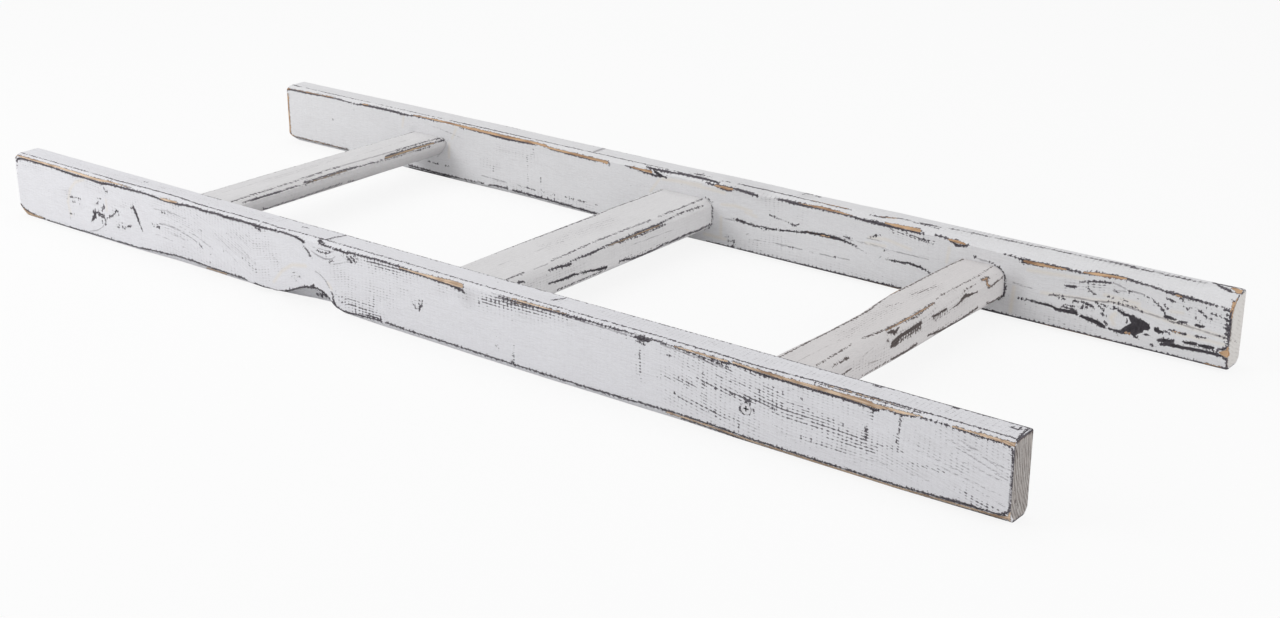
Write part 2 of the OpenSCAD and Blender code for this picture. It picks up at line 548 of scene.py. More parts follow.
@dataclass(frozen=True)
class WornPaint:
    """Chalky white paint over a charcoal undercoat over pine, rubbed through by the marks.

    Attributes:
        name: the material's name.
        saw_pitch: distance of the ripples that the saw left.
        row_pitch: distance of the rows of the grain.
        rub: how much of the woven speckle shows all over.
        rim: how far the undercoat shows round the bare wood, as a share of the marks' fields.
        white: the paint where it is thick.
        dim: the paint in its thin and dusty places, and where shade is painted in.
        charcoal: the undercoat.
        worn: the undercoat where paint is left in its pores.
        pine: the bare wood.
        pine_dark: the bare wood's late grain.
        cream: resin stain in the paint.
    """

    name: str
    saw_pitch: float = 4.6
    row_pitch: float = 2.6
    rub: float = 0.1
    rim: float = 0.04
    white: Color = shade(233, 232, 233)
    dim: Color = shade(160, 156, 157)
    charcoal: Color = shade(48, 45, 49)
    worn: Color = shade(116, 111, 118)
    pine: Color = shade(219, 192, 164)
    pine_dark: Color = shade(150, 122, 98)
    cream: Color = shade(228, 214, 188)

    # Each noise's cell in mm along, across and up the wood, then its finer layers and their share
    FIBRE = (45.0, 1.5, 1.5), 3.0, 0.65
    FUZZ = (7.0, 0.7, 0.7), 2.0
    CLOUD = (45.0, 18.0, 18.0), 3.0
    RAG = (2.2, 2.4, 2.4), 3.0, 0.65
    GRIT = (0.9, 0.9, 0.9), 2.0, 0.7
    SCATTER = (3.6, 2.0, 2.0), 1.0
    PATCH = (16.0, 7.0, 7.0), 1.0
    SAW_SWAY = (40.0, 60.0, 60.0), 2.0
    ROW_SWAY = (120.0, 24.0, 24.0), 1.0
    # How far, in turns of the wave, the ripples and the rows sway
    SAW_BEND = 14.0
    ROW_BEND = 12.0
    # Where a field, ragged by its edge noise, becomes undercoat, bare wood or a fine line
    DARK_STEP = 0.44, 0.51
    BARE_STEP = 0.48, 0.54
    HAIR_STEP = 0.4, 0.6
    SPECULAR = 0.22

    def material(self) -> bpy.types.Material:
        """Builds the finish.

        Returns:
            The material.
        """
        board = NodeBoard(bpy.data.materials.new(self.name))
        wood = board.wood()
        fibre, fuzz, cloud, rag, grit, scatter, patch = (
            board.noise(wood, *noise)
            for noise in (self.FIBRE, self.FUZZ, self.CLOUD, self.RAG, self.GRIT, self.SCATTER, self.PATCH)
        )
        crest = self.saw_ripple(board, wood)
        row = self.grain_row(board, wood)
        lines = fibre.rise(0.52, 0.68)

        # Net of the grain's rows and the saw's ripples, where thin paint first rubs through
        net = row * row * 0.6 + crest * 0.38 + (scatter - 0.5) * 1.5 + (grit - 0.5) * 0.4
        thin_paint = board.field(Coat.GRAIN) + self.rub
        woven = (net + board.field(Coat.WEAVE) * 1.3 + thin_paint * 0.3 - 1.5).rise(-0.1, 0.1)
        specks = (net + thin_paint * 0.5 + (patch - 0.5) * 0.6 - 1.2).rise(-0.12, 0.2)
        specks = specks * (thin_paint * 0.25 + 0.25)

        # Ragged edges of the marks, and how far each coat reaches inside them
        kept = board.field(Coat.PAINT) * 1.6
        edge = ((rag - 0.48) * 1.5).top(-0.03) - 0.05 + (fuzz - 0.5) * 0.25
        teeth = crest * crest * (scatter - 0.4).top(0.0) * 0.9
        gone = (board.field(Coat.UNDERCOAT) + teeth).top(board.field(Coat.CRACK) + 0.02)
        gone = gone.top(board.field(Coat.BARE) + self.rim)
        charcoal_share = (gone + edge - kept).rise(*self.DARK_STEP)
        bare_share = (board.field(Coat.BARE) + edge * 0.4 - kept).rise(*self.BARE_STEP)
        fine = (board.field(Coat.HAIR) + (fuzz - 0.5) * 0.5 + (rag - 0.5) * 0.3).rise(*self.HAIR_STEP)

        # Greyness of the paint, more where it is thin or dusty, and where the dust field paints in shade
        thin = (cloud - 0.5) * 0.12 + (fuzz - 0.5) * 0.36 + (grit - 0.5) * 0.5 + 0.1
        thin = thin + lines * 0.05 + crest * 0.015 + board.field(Coat.DUST_AND_SHADE) * 0.35
        thin = thin + (lines * 0.13 + crest * 0.03 + row * row * 0.07) * thin_paint

        # Coats from the outermost to the wood
        color = board.mix(thin, self.white, self.dim)
        color = board.mix(board.field(Coat.STAIN) * 0.5, color, self.cream)
        color = board.mix(specks, color, self.worn)
        color = board.mix(fine * 0.6, color, self.worn)
        worn_share = (rag * 0.6 + grit * 0.6).rise(0.48, 0.8) * (board.field(Coat.CRACK) * -0.8 + 1.0)
        undercoat = board.mix(worn_share, self.charcoal, self.worn)
        color = board.mix(charcoal_share.top(woven * 0.85), color, undercoat)
        pine = board.mix((fibre * 0.7 + patch * 0.5).rise(0.48, 0.75), self.pine, self.pine_dark)
        color = board.mix(bare_share, color, pine)

        rough = charcoal_share * -0.1 + 0.78 + (grit - 0.5) * 0.1
        height = fibre * 0.12 + fuzz * 0.06 + grit * 0.06 - crest * 0.025
        height = height - charcoal_share * 0.16 - bare_share * 0.08 - specks * 0.1 - woven * 0.08
        return board.surface(color, rough, height, self.SPECULAR)

    def saw_ripple(self, board: NodeBoard, wood: Wire) -> Wire:
        """Makes the ripples that the saw left across the plank.

        Args:
            board: the finish's board.
            wood: the place in the wood.

        Returns:
            The ripples, 1 on their narrow crests.
        """
        sway = board.noise(wood, *self.SAW_SWAY)
        phase = board.part(wood, "X") * (2 * math.pi / self.saw_pitch) + sway * self.SAW_BEND
        ripple = board.math("SINE", phase) * 0.5 + 0.5
        return ripple * ripple

    def grain_row(self, board: NodeBoard, wood: Wire) -> Wire:
        """Makes the rows of the grain along the plank.

        Args:
            board: the finish's board.
            wood: the place in the wood.

        Returns:
            The rows, 1 in the middle of each.
        """
        sway = board.noise(wood, *self.ROW_SWAY)
        place = board.part(wood, "Y") + board.part(wood, "Z")
        phase = place * (2 * math.pi / self.row_pitch) + sway * self.ROW_BEND
        return board.math("SINE", phase) * 0.5 + 0.5


@dataclass(frozen=True)
class EndGrain:
    """Sawn end grain, brushed with thin paint.

    Attributes:
        name: the material's name.
        pith_y: where the tree's middle lies along Y.
        pith_z: height of the tree's middle.
        light: the end grain's light rings.
        deep: its dark rings and pores.
        paint: the colour of the thin paint over it.
        cover: how much of the paint is left, from 0 to 1.
        edge: the bruised undercoat along its rim.
        pine: the bare wood at its corners.
        ring_pitch: distance of the growth rings.
    """

    name: str
    pith_y: float
    pith_z: float = 20.0
    light: Color = shade(222, 214, 204)
    deep: Color = shade(150, 132, 116)
    paint: Color = shade(228, 227, 228)
    cover: float = 0.8
    edge: Color = shade(88, 76, 74)
    pine: Color = shade(178, 136, 96)
    ring_pitch: float = 3.4

    # Each noise's cell in mm, then its finer layers and their share
    WANDER = (20.0, 8.0, 20.0), 2.0
    STREAK = (1.1, 12.0, 1.0), 3.0, 0.6
    CLOUD = (20.0, 7.0, 12.0), 2.0
    PORES = (20.0, 0.8, 1.1), 2.0, 0.7
    SPECULAR = 0.2

    def material(self) -> bpy.types.Material:
        """Builds the finish.

        Returns:
            The material.
        """
        board = NodeBoard(bpy.data.materials.new(self.name))
        wood = board.own_place()
        away = board.vector("SUBTRACT", wood, (0.0, self.pith_y, self.pith_z))
        flat = board.vector("MULTIPLY", away, (0.0, 1.0, 1.0))
        radius = board.vector("LENGTH", flat, (0.0, 0.0, 0.0))
        ringed = board.join(radius, board.part(wood, "Z"), 0.0)
        wander = board.noise(wood, *self.WANDER)
        rings = board.math("SINE", radius * (2 * math.pi / self.ring_pitch) + wander * 5.0) * 0.5 + 0.5
        streak = board.noise(ringed, *self.STREAK)
        cloud = board.noise(wood, *self.CLOUD)
        pores = board.noise(wood, *self.PORES)

        deep = rings * 0.3 + (streak - 0.5) * 2.2 + (cloud - 0.5) * 1.2 + (pores - 0.5) * 0.8 + 0.35
        color = board.mix(deep, self.light, self.deep)
        left = (pores - 0.5) * 1.5 + (cloud - 0.5) * 1.5 - (rings - 0.5) * 0.3 + self.cover
        color = board.mix(left.rise(0.2, 0.9), color, self.paint)
        edge = (pores - 0.5) * 1.0 + (streak - 0.5) * 0.8
        charcoal_share = (board.field(Coat.UNDERCOAT) + edge).rise(0.46, 0.6)
        bare_share = (board.field(Coat.BARE) + edge * 0.5).rise(0.48, 0.58)
        color = board.mix(charcoal_share, color, self.edge)
        color = board.mix(bare_share, color, self.pine)
        height = rings * 0.08 + streak * 0.12 + pores * 0.12 - charcoal_share * 0.15
        return board.surface(color, streak * 0.1 + 0.75, height, self.SPECULAR)


@dataclass(frozen=True)
class PaintedSteel:
    """A screw head painted over, with the charcoal showing down in its recess; the dark deepens with the
    recess's depth and so also paints in its shade.

    Attributes:
        name: the material's name.
        head_y: distance of the head's top from the ladder's middle.
        white: the paint on it.
        charcoal: the dark down in its recess, charcoal and painted shade.
        steel: the steel that shows through.
    """

    name: str
    head_y: float
    white: Color = shade(224, 223, 226)
    charcoal: Color = shade(46, 42, 46)
    steel: Color = shade(128, 124, 122)

    # Each noise's cell in mm, then its finer layers and their share
    GRIT = (0.8, 0.8, 0.8), 3.0, 0.6
    CLOUD = (2.5, 2.5, 2.5), 2.0
    SPECULAR = 0.4

    def material(self) -> bpy.types.Material:
        """Builds the finish.

        Returns:
            The material.
        """
        board = NodeBoard(bpy.data.materials.new(self.name))
        place = board.own_place()
        grit = board.noise(place, *self.GRIT)
        cloud = board.noise(place, *self.CLOUD)
        # Darker the deeper the point lies in the recess: charcoal, and painted shade
        depth = board.math("ABSOLUTE", board.part(place, "Y")) * -1.0 + self.head_y
        sunk_dark_and_shade = (depth + (cloud - 0.5) * 0.5).rise(0.12, 0.4)
        color = board.mix(grit.rise(0.5, 0.85) * 0.5, self.white, self.steel)
        color = board.mix(sunk_dark_and_shade, color, self.charcoal)
        return board.surface(color, sunk_dark_and_shade * 0.2 + 0.55, grit * 0.08 + cloud * 0.1, self.SPECULAR)


def spread(count: int, gather: float = 0.55) -> np.ndarray:
    """Returns the places of mesh lines over a face from 0 to 1, closer by its two edges."""
    even = np.linspace(0, 1, count + 1)
    return even * (1 - gather) + (1 - np.cos(np.pi * even)) / 2 * gather


class Skin:
    """The grid of a plank's skin: points by station and by place round the section."""

    def __init__(self, stations: np.ndarray, rings: np.ndarray) -> None:
        """Holds the places along the plank and the (across, up) rings there."""
        self.stations = stations
        self.rings = rings

    def inward(self) -> np.ndarray:
        """Works out which way the wood lies.

        Returns:
            The unit direction into the wood at every point of every ring.
        """
        step = np.roll(self.rings, -1, axis=1) - np.roll(self.rings, 1, axis=1)
        turn = np.stack([step[..., 1], -step[..., 0]], axis=-1)
        return turn / np.maximum(np.linalg.norm(turn, axis=-1, keepdims=True), 1e-9)

    def points(self) -> np.ndarray:
        """Returns every point as (along, across, up)."""
        along = np.broadcast_to(self.stations[:, None], self.rings.shape[:2])
        return np.concatenate([along[..., None], self.rings], axis=-1)


@dataclass
class Plank:
    """One painted plank: the base of the rails and the rungs.

    Attributes:
        node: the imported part's node that it stands for.
        seed: seed of its unevenness.
        arrises: its four long edges, from the low side's lower one, clockwise.
        strips: mesh strips over the low side, top, high side and under face.
        marks: its marks by side.
        finishes: its materials, for the long faces and for the two ends.
        zero: place along the plank's axis from which its marks and courses are counted.
        runs_along_y: whether its length lies along Y.
        step_along: distance of its sections.
        end_rounds: round of its start and of its end, each as (across, below, above).
        dip: how far its faces are uneven.
        knots: its knots.
        grain_lift: how far its grain has risen at each place along it.
    """

    node: str
    seed: int
    arrises: tuple[Arris, ...]
    strips: tuple[int, int, int, int]
    marks: dict[Side, tuple[Mark, ...]]
    finishes: tuple[bpy.types.Material, ...]
    zero: float = 0.0
    runs_along_y: bool = False
    step_along: float = 1.7
    end_rounds: tuple[Spot, Spot] = ((0.6, 0.6, 0.6), (0.6, 0.6, 0.6))
    dip: float = 0.25
    knots: tuple[Knot, ...] = ()
    grain_lift: Course = level(0.0)

    CAP_RINGS = 9
    END_STEPS = 9
    # How far a point that faces away from the camera counts as below the marks
    HIDDEN = 99.0
    # How deep marks still reach on a side that the camera doesn't see
    BLIND_DEPTH = 3.0
    # Half width that a thin mark would lose between the mesh lines
    MESH_LOSS = 0.16
    # Lengths in mm, along and round the plank, of its slow and its quick unevenness
    SLOW_CELL = 46.0, 13.0
    QUICK_CELL = 11.0, 3.1
    QUICK_DIP = 0.07
    # How deep each coat lies under the white paint, from which field it deepens, and how fast
    DEPTHS = {Coat.UNDERCOAT: 0.14, Coat.BARE: 0.3, Coat.CRACK: 0.85}
    WORN_FROM = 0.4
    WORN_RATE = 3
    # Lengths along and up of the sway of its grain, and how far that goes
    GRAIN_CELL = 160.0, 60.0
    GRAIN_SWAY = 5.0
    # Height over which the round of an end's foot turns into that of its head
    END_BLEND = 12.0
    # Seed and lengths across and up of an end's unevenness, and its depth
    CAP_SEED = 5
    CAP_CELL = 3.5, 9.0
    CAP_DIP = 0.5
    # Distance in mm of two planks' places in the noises of their wood
    SEED_STEP = 3000
    SHARP_ANGLE = 50

    def __post_init__(self) -> None:
        """Reads the plank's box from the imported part."""
        low, high = (np.array(corner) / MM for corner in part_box(self.node))
        self.low, self.high = low[self.order()], high[self.order()]
        self.eye = np.array(VIEW.eye())[self.order()]

    def order(self) -> list[int]:
        """Returns which of X, Y and Z are along, across and up. It is its own inverse."""
        return [1, 0, 2] if self.runs_along_y else [0, 1, 2]

    def stations(self) -> np.ndarray:
        """Spaces the sections out, closer where the ends are rounded.

        Returns:
            Their places along the plank.
        """
        turn = 1 - np.cos(np.linspace(0, math.pi / 2, self.END_STEPS))
        first = self.low[0] + max(self.end_rounds[0]) * turn
        last = self.high[0] - max(self.end_rounds[1]) * turn[::-1]
        count = int(round((last[0] - first[-1]) / self.step_along))
        middle = np.linspace(first[-1], last[0], count + 1)[1:-1]
        return np.concatenate([first, middle, last])

    def edges(self, place: np.ndarray) -> tuple[np.ndarray, np.ndarray]:
        """Returns where the low and the high side lie at each place along the plank."""
        flat = np.ones_like(place)
        return flat * self.low[1], flat * self.high[1]

    def corner(self, which: int, place: np.ndarray) -> np.ndarray:
        """Works out one worn arris.

        Args:
            which: 0 low and lower, 1 low and upper, 2 high and upper, 3 high and lower.
            place: the stations, counted from the plank's zero.

        Returns:
            Its (across, up) points at each station, in the ring's order.
        """
        arris = self.arrises[which]
        at_low, at_top = which in (0, 1), which in (1, 2)
        across = self.edges(place)[0 if at_low else 1]
        up = np.full_like(across, self.high[2] if at_top else self.low[2])
        flat = np.zeros_like(across)
        over = np.stack([arris.across.at(place) * (1 if at_low else -1), flat], axis=-1)[:, None]
        down = np.stack([flat, arris.down.at(place) * (-1 if at_top else 1)], axis=-1)[:, None]
        first, last = (over, down) if which in (0, 2) else (down, over)
        t = np.linspace(0, 1, arris.steps + 1)[None, :, None]
        line = first * (1 - t) + last * t
        arc = first * (1 - np.sin(t * math.pi / 2)) + last * (1 - np.cos(t * math.pi / 2))
        share = arris.round_share.at(place)[:, None, None]
        return np.stack([across, up], axis=-1)[:, None] + line + share * (arc - line)

    def rings(self, stations: np.ndarray) -> np.ndarray:
        """Draws the plank's sections.

        Args:
            stations: their places along the plank.

        Returns:
            The sections as (across, up) rings, clockwise from below.
        """
        corners = [self.corner(which, stations - self.zero) for which in range(4)]
        parts = []
        for which, here in enumerate(corners):
            ahead = corners[(which + 1) % 4][:, :1]
            t = spread(self.strips[which])[None, 1:-1, None]
            parts += [here, here[:, -1:] * (1 - t) + ahead * t]
        return np.concatenate(parts, axis=1)

    def worn_share(self, field: np.ndarray) -> np.ndarray:
        """Returns how far, from 0 to 1, a coat's field has worn the wood down."""
        return np.clip((field - self.WORN_FROM) * self.WORN_RATE, 0, 1)

    def relief(self, points: np.ndarray, fields: dict[Coat, np.ndarray]) -> np.ndarray:
        """Works out how deep each point lies under the plank's sharp form.

        Args:
            points: the points as (along, across, up).
            fields: the mark fields there.

        Returns:
            The depth in mm, never negative.
        """
        along, across, up = points.T
        girth = across + up
        long, round_it = self.SLOW_CELL
        slow = Drift(self.seed).at(along / long + girth / long, girth / round_it)
        long, round_it = self.QUICK_CELL
        quick = Drift(self.seed + 1).at(along / long, girth / round_it)
        worn = [self.worn_share(fields[coat]) * depth for coat, depth in self.DEPTHS.items()]
        kept = 1 - np.clip(fields[Coat.PAINT] * 2, 0, 1)
        return self.dip * slow + self.QUICK_DIP * quick + np.maximum.reduce(worn) * kept

    def flow(self, place: np.ndarray, up: np.ndarray) -> np.ndarray:
        """Follows each point's grain line to where no knot bends it.

        Args:
            place: the points' places along the plank, from its zero.
            up: their heights.

        Returns:
            The heights that the grain lines have there.
        """
        long, high = self.GRAIN_CELL
        sway = Drift(self.seed + 2).at(place / long, up / high) * self.GRAIN_SWAY
        bends = sum(knot.bend(place, up) for knot in self.knots)
        return up - self.grain_lift.at(place) + sway + bends

    def laid_out(self, side: Side, points: np.ndarray, normals: np.ndarray) -> tuple[np.ndarray, ...]:
        """Lays points out on one side, in perspective where the camera sees that side.

        Args:
            side: the side.
            points: the points as (along, across, up).
            normals: their outward directions.

        Returns:
            Each point's two places on the side, and how far below its marks it lies.
        """
        axis, at_high = side.value
        plane = (self.high if at_high else self.low)[axis]
        outward = 1 if at_high else -1
        if (self.eye[axis] - plane) * outward > 0:
            sight = self.eye - points
            spots = points + sight * ((plane - points[:, axis]) / sight[:, axis])[:, None]
            below = np.where((sight * normals).sum(axis=1) > 0, 0.0, self.HIDDEN)
        else:
            spots = points
            below = np.maximum((plane - points[:, axis]) * outward - self.BLIND_DEPTH, 0)
        laid = [spots[:, 0] - self.zero, spots[:, 1] - self.low[1], spots[:, 2]]
        del laid[axis]
        return *laid, below

    def fields(self, points: np.ndarray, normals: np.ndarray) -> dict[Coat, np.ndarray]:
        """Works out how strongly each coat shows at each point.

        Args:
            points: the points as (along, across, up).
            normals: their outward directions.

        Returns:
            A field from 0 to 1 for each coat, 0.5 at a mark's edge.
        """
        found = {coat: np.zeros(len(points)) for coat in Coat}
        for side, marks in self.marks.items():
            u, v, below = self.laid_out(side, points, normals)
            for mark in marks:
                self.lay_mark(found[mark.coat], mark, u, v, below)
        return found

    def lay_mark(
        self, found: np.ndarray, mark: Mark, u: np.ndarray, v: np.ndarray, below: np.ndarray,
    ) -> None:
        """Raises a coat's field along one mark.

        Args:
            found: the coat's field so far, which is changed.
            mark: the mark.
            u: the points' first place on the mark's side.
            v: their second place.
            below: how far they lie below it.
        """
        fall = FALL_OFF[mark.coat]
        spots = mark.spots if len(mark.spots) > 1 else mark.spots * 2
        for (u0, v0, w0), (u1, v1, w1) in zip(spots, spots[1:]):
            reach = max(w0, w1) + fall
            near = np.flatnonzero(
                (u > min(u0, u1) - reach) & (u < max(u0, u1) + reach)
                & (v > min(v0, v1) - reach) & (v < max(v0, v1) + reach) & (below < reach)
            )
            du, dv = u1 - u0, v1 - v0
            long = max(du * du + dv * dv, 1e-9)
            t = np.clip(((u[near] - u0) * du + (v[near] - v0) * dv) / long, 0, 1)
            gap = np.sqrt((u[near] - u0 - t * du) ** 2 + (v[near] - v0 - t * dv) ** 2 + below[near] ** 2)
            half = w0 + t * (w1 - w0) + self.MESH_LOSS
            value = np.clip(0.5 + (half - gap) / (2 * fall), 0, 1)
            found[near] = np.maximum(found[near], value)

    def rounded_ends(self, skin: Skin) -> None:
        """Draws the sections in towards their middle where the ends are rounded.

        Args:
            skin: the plank's skin, which is changed.
        """
        middle = (self.low[1:] + self.high[1:]) / 2
        half = (self.high[1:] - self.low[1:]) / 2
        reaches = (skin.stations - self.low[0], self.high[0] - skin.stations)
        for (over, foot, head), away in zip(self.end_rounds, reaches):
            from_middle = skin.rings - middle
            above = np.clip(0.5 + from_middle[..., 1] / self.END_BLEND, 0, 1)
            for axis, radius in ((0, over), (1, foot + (head - foot) * above)):
                short = np.clip(radius - away[:, None], 0, radius)
                inset = radius - np.sqrt(radius ** 2 - short ** 2)
                from_middle[..., axis] *= 1 - inset / half[axis]
            skin.rings = middle + from_middle

    def cap(self, skin: Skin, at_end: bool) -> np.ndarray:
        """Closes one end with rings.

        Args:
            skin: the plank's skin.
            at_end: whether it is the plank's end, not its start.

        Returns:
            The rings' points, and last the end's middle point.
        """
        edge = skin.rings[-1 if at_end else 0]
        along = skin.stations[-1 if at_end else 0]
        middle = edge.mean(axis=0)
        uneven = Drift(self.seed + self.CAP_SEED + at_end)
        rows = []
        for k in range(1, self.CAP_RINGS):
            ring = middle + (edge - middle) * (1 - k / self.CAP_RINGS)
            depth = self.CAP_DIP * uneven.at(ring[:, 0] / self.CAP_CELL[0], ring[:, 1] / self.CAP_CELL[1])
            rows.append(np.column_stack([along + depth * (-1 if at_end else 1), ring]))
        rows.append(np.array([[along, *middle]]))
        return np.concatenate(rows)

    @staticmethod
    def bands(rings: list[np.ndarray], flip: bool = False) -> list[list[int]]:
        """Joins each ring to the next one by faces.

        Args:
            rings: the numbers of each ring's points.
            flip: whether the faces turn the other way.

        Returns:
            The faces.
        """
        faces: list[list[int]] = []
        for near, far in zip(rings, rings[1:]):
            band = np.stack([near, np.roll(near, -1), np.roll(far, -1), far], axis=-1)
            faces += (band[:, ::-1] if flip else band).tolist()
        return faces

    def cap_faces(self, first: int, offset: int, count: int, flip: bool) -> list[list[int]]:
        """Joins an end's rings to the skin.

        Args:
            first: number of the skin's first point on this end's rim.
            offset: number of the cap's first point.
            count: points on each ring.
            flip: whether the faces turn the other way.

        Returns:
            The cap's faces.
        """
        side = np.arange(count)
        rings = [first + side] + [offset + k * count + side for k in range(self.CAP_RINGS - 1)]
        middle = np.full(count, offset + (self.CAP_RINGS - 1) * count)
        fan = np.stack([rings[-1], np.roll(rings[-1], -1), middle], axis=-1)
        return self.bands(rings, flip) + (fan[:, ::-1] if flip else fan).tolist()

    def build(self) -> bpy.types.Object:
        """Builds the plank's mesh.

        Returns:
            The mesh as an object.
        """
        stations = self.stations()
        skin = Skin(stations, self.rings(stations))
        inward = skin.inward()
        points = skin.points().reshape(-1, 3)
        normals = np.concatenate([np.zeros_like(inward[..., :1]), -inward], axis=-1).reshape(-1, 3)
        depth = self.relief(points, self.fields(points, normals)).reshape(inward.shape[:2])
        skin.rings = skin.rings + inward * depth[..., None]
        self.rounded_ends(skin)

        rows, count = skin.rings.shape[:2]
        body = skin.points().reshape(-1, 3)
        caps = [self.cap(skin, at_end) for at_end in (False, True)]
        points = np.concatenate([body, *caps])[:, self.order()] * MM
        faces = self.bands([row * count + np.arange(count) for row in range(rows)])
        kinds = [0] * len(faces)
        starts = ((0, len(body)), ((rows - 1) * count, len(body) + len(caps[0])))
        for kind, (first, offset) in enumerate(starts, start=1):
            cap = self.cap_faces(first, offset, count, flip=kind == 1)
            faces += cap
            kinds += [kind] * len(cap)
        mesh = bpy.data.meshes.new(f"{self.node}_painted")
        mesh.from_pydata(points.tolist(), [], faces)
        mesh.polygons.foreach_set("material_index", np.array(kinds, dtype=np.int32))
        self.turn_out(mesh)
        for finish in self.finishes:
            mesh.materials.append(finish)
        return placed(mesh.name, mesh)

    @staticmethod
    def turn_out(mesh: bpy.types.Mesh) -> None:
        """Flips a mesh's faces if they look inwards, which its volume's sign tells.

        Args:
            mesh: the mesh.
        """
        mesh.calc_loop_triangles()
        at = np.empty(len(mesh.vertices) * 3)
        mesh.vertices.foreach_get("co", at)
        corners = np.empty(len(mesh.loop_triangles) * 3, dtype=np.int64)
        mesh.loop_triangles.foreach_get("vertices", corners)
        a, b, c = np.moveaxis(at.reshape(-1, 3)[corners.reshape(-1, 3)], 1, 0)
        if np.einsum("ij,ij->i", a, np.cross(b, c)).sum() < 0:
            mesh.flip_normals()

    def dress(self, piece: bpy.types.Object) -> None:
        """Writes the marks' fields and the place in the wood into the mesh.

        Args:
            piece: the built plank.
        """
        mesh = piece.data
        at = np.empty(len(mesh.vertices) * 3)
        mesh.vertices.foreach_get("co", at)
        points = at.reshape(-1, 3)[:, self.order()] / MM
        mesh.vertices.foreach_get("normal", at)
        normals = at.reshape(-1, 3)[:, self.order()]
        for coat, values in self.fields(points, normals).items():
            layer = mesh.attributes.new(coat.value, "FLOAT", "POINT")
            layer.data.foreach_set("value", values.astype(np.float32))
        along, across, up = points.T
        place = along - self.zero
        spots = [place + self.SEED_STEP * self.seed, across - self.low[1], self.flow(place, up)]
        wood = np.stack(spots, axis=-1)
        layer = mesh.attributes.new("wood", "FLOAT_VECTOR", "POINT")
        layer.data.foreach_set("vector", wood.astype(np.float32).ravel())
        mesh.shade_smooth()
        mesh.set_sharp_from_angle(angle=math.radians(self.SHARP_ANGLE))

    def finish(self) -> None:
        """Builds and dresses the plank and hands it to the frame."""
        piece = self.build()
        self.cut(piece)
        self.dress(piece)
        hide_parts(self.node)
        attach(piece, "root")
        LOG.info("%s: %d faces", piece.name, len(piece.data.polygons))

    def cut(self, piece: bpy.types.Object) -> None:
        """Cuts what has to be cut out of the plank: nothing, unless a kind of plank says so."""


@dataclass
class Rail(Plank):
    """A rail, with a countersunk hole for each of its screws that shows.

    Attributes:
        screws: the nodes of those screws.
        outer: its outer side.
    """

    screws: tuple[str, ...] = ()
    outer: Side = Side.LOW

    HEAD_R = 5.15
    SEAT_DEPTH = 1.3
    BORE_R = 2.7
    CUT_ABOVE = 2.0
    CUT_DEPTH = 15.0
    TURNS = 48

    def cut(self, piece: bpy.types.Object) -> None:
        """Cuts the countersunk holes, each with its own cutter.

        Args:
            piece: the built rail, which is changed.
        """
        for node in self.screws:
            low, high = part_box(node)
            cutter = self.cutter((low.x + high.x) / 2 / MM, (low.z + high.z) / 2 / MM)
            saw = piece.modifiers.new("countersink", "BOOLEAN")
            saw.object, saw.operation, saw.solver = cutter, "DIFFERENCE", "FAST"
            graph = bpy.context.evaluated_depsgraph_get()
            piece_cut = bpy.data.meshes.new_from_object(piece.evaluated_get(graph))
            piece.modifiers.clear()
            piece.data = piece_cut
            bpy.data.objects.remove(cutter)

    def cutter(self, x: float, z: float) -> bpy.types.Object:
        """Makes the waste of one countersunk hole.

        Args:
            x: the screw's place along the rail.
            z: its height.

        Returns:
            The cutter, which runs from outside the rail to its middle.
        """
        face, inwards = (self.low[1], 1) if self.outer is Side.LOW else (self.high[1], -1)
        cone = self.SEAT_DEPTH + self.HEAD_R - self.BORE_R
        outline = [
            (-self.CUT_ABOVE, self.HEAD_R), (self.SEAT_DEPTH, self.HEAD_R), (cone, self.BORE_R),
            (self.CUT_DEPTH, self.BORE_R),
        ]
        turns = self.TURNS
        angles = [2 * math.pi * k / turns for k in range(turns)]
        points = [
            (x + radius * math.cos(angle), face + inwards * depth, z + radius * math.sin(angle))
            for depth, radius in outline for angle in angles
        ]
        faces = [
            (ring * turns + k, ring * turns + (k + 1) % turns,
             (ring + 1) * turns + (k + 1) % turns, (ring + 1) * turns + k)
            for ring in range(len(outline) - 1) for k in range(turns)
        ]
        faces += [tuple(range(turns))[::-1], tuple(range((len(outline) - 1) * turns, len(points)))]
        mesh = bpy.data.meshes.new("countersink")
        mesh.from_pydata((np.array(points) * MM).tolist(), [], faces)
        self.turn_out(mesh)
        return placed("countersink", mesh)


@dataclass
class Rung(Plank):
    """A rung, whose sides may wander.

    Attributes:
        low_wander: how far the low side lies inside its box.
        high_wander: how far the high side lies inside its box.
    """

    low_wander: Course = level(0.0)
    high_wander: Course = level(0.0)

    def edges(self, place: np.ndarray) -> tuple[np.ndarray, np.ndarray]:
        """Returns where the low and the high side lie at each place along the rung."""
        return self.low[1] + self.low_wander.at(place), self.high[1] - self.high_wander.at(place)


class Row(Enum):
    """The two rows of screws, by the rail that they go through."""

    FRONT = "front"
    BACK = "back"


@dataclass(frozen=True)
class ScrewRow:
    """The screws of one rail, which keep their packed form.

    Attributes:
        row: which row they are.
        places: the rungs that they hold.
    """

    row: Row
    places: tuple[str, ...] = ("left", "middle", "right")

    def dress(self, nodes: dict[str, bpy.types.Object]) -> None:
        """Paints the screws.

        Args:
            nodes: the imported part's objects by name.
        """
        names = [f"{place}_{self.row.value}_screw" for place in self.places]
        head_y = max(abs(corner.y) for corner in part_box(names[-1]))
        finish = PaintedSteel(f"painted_{self.row.value}_screws", head_y / MM).material()
        for name in names:
            materials = nodes[name].data.materials
            materials.clear()
            materials.append(finish)
            LOG.info("%s: painted", name)


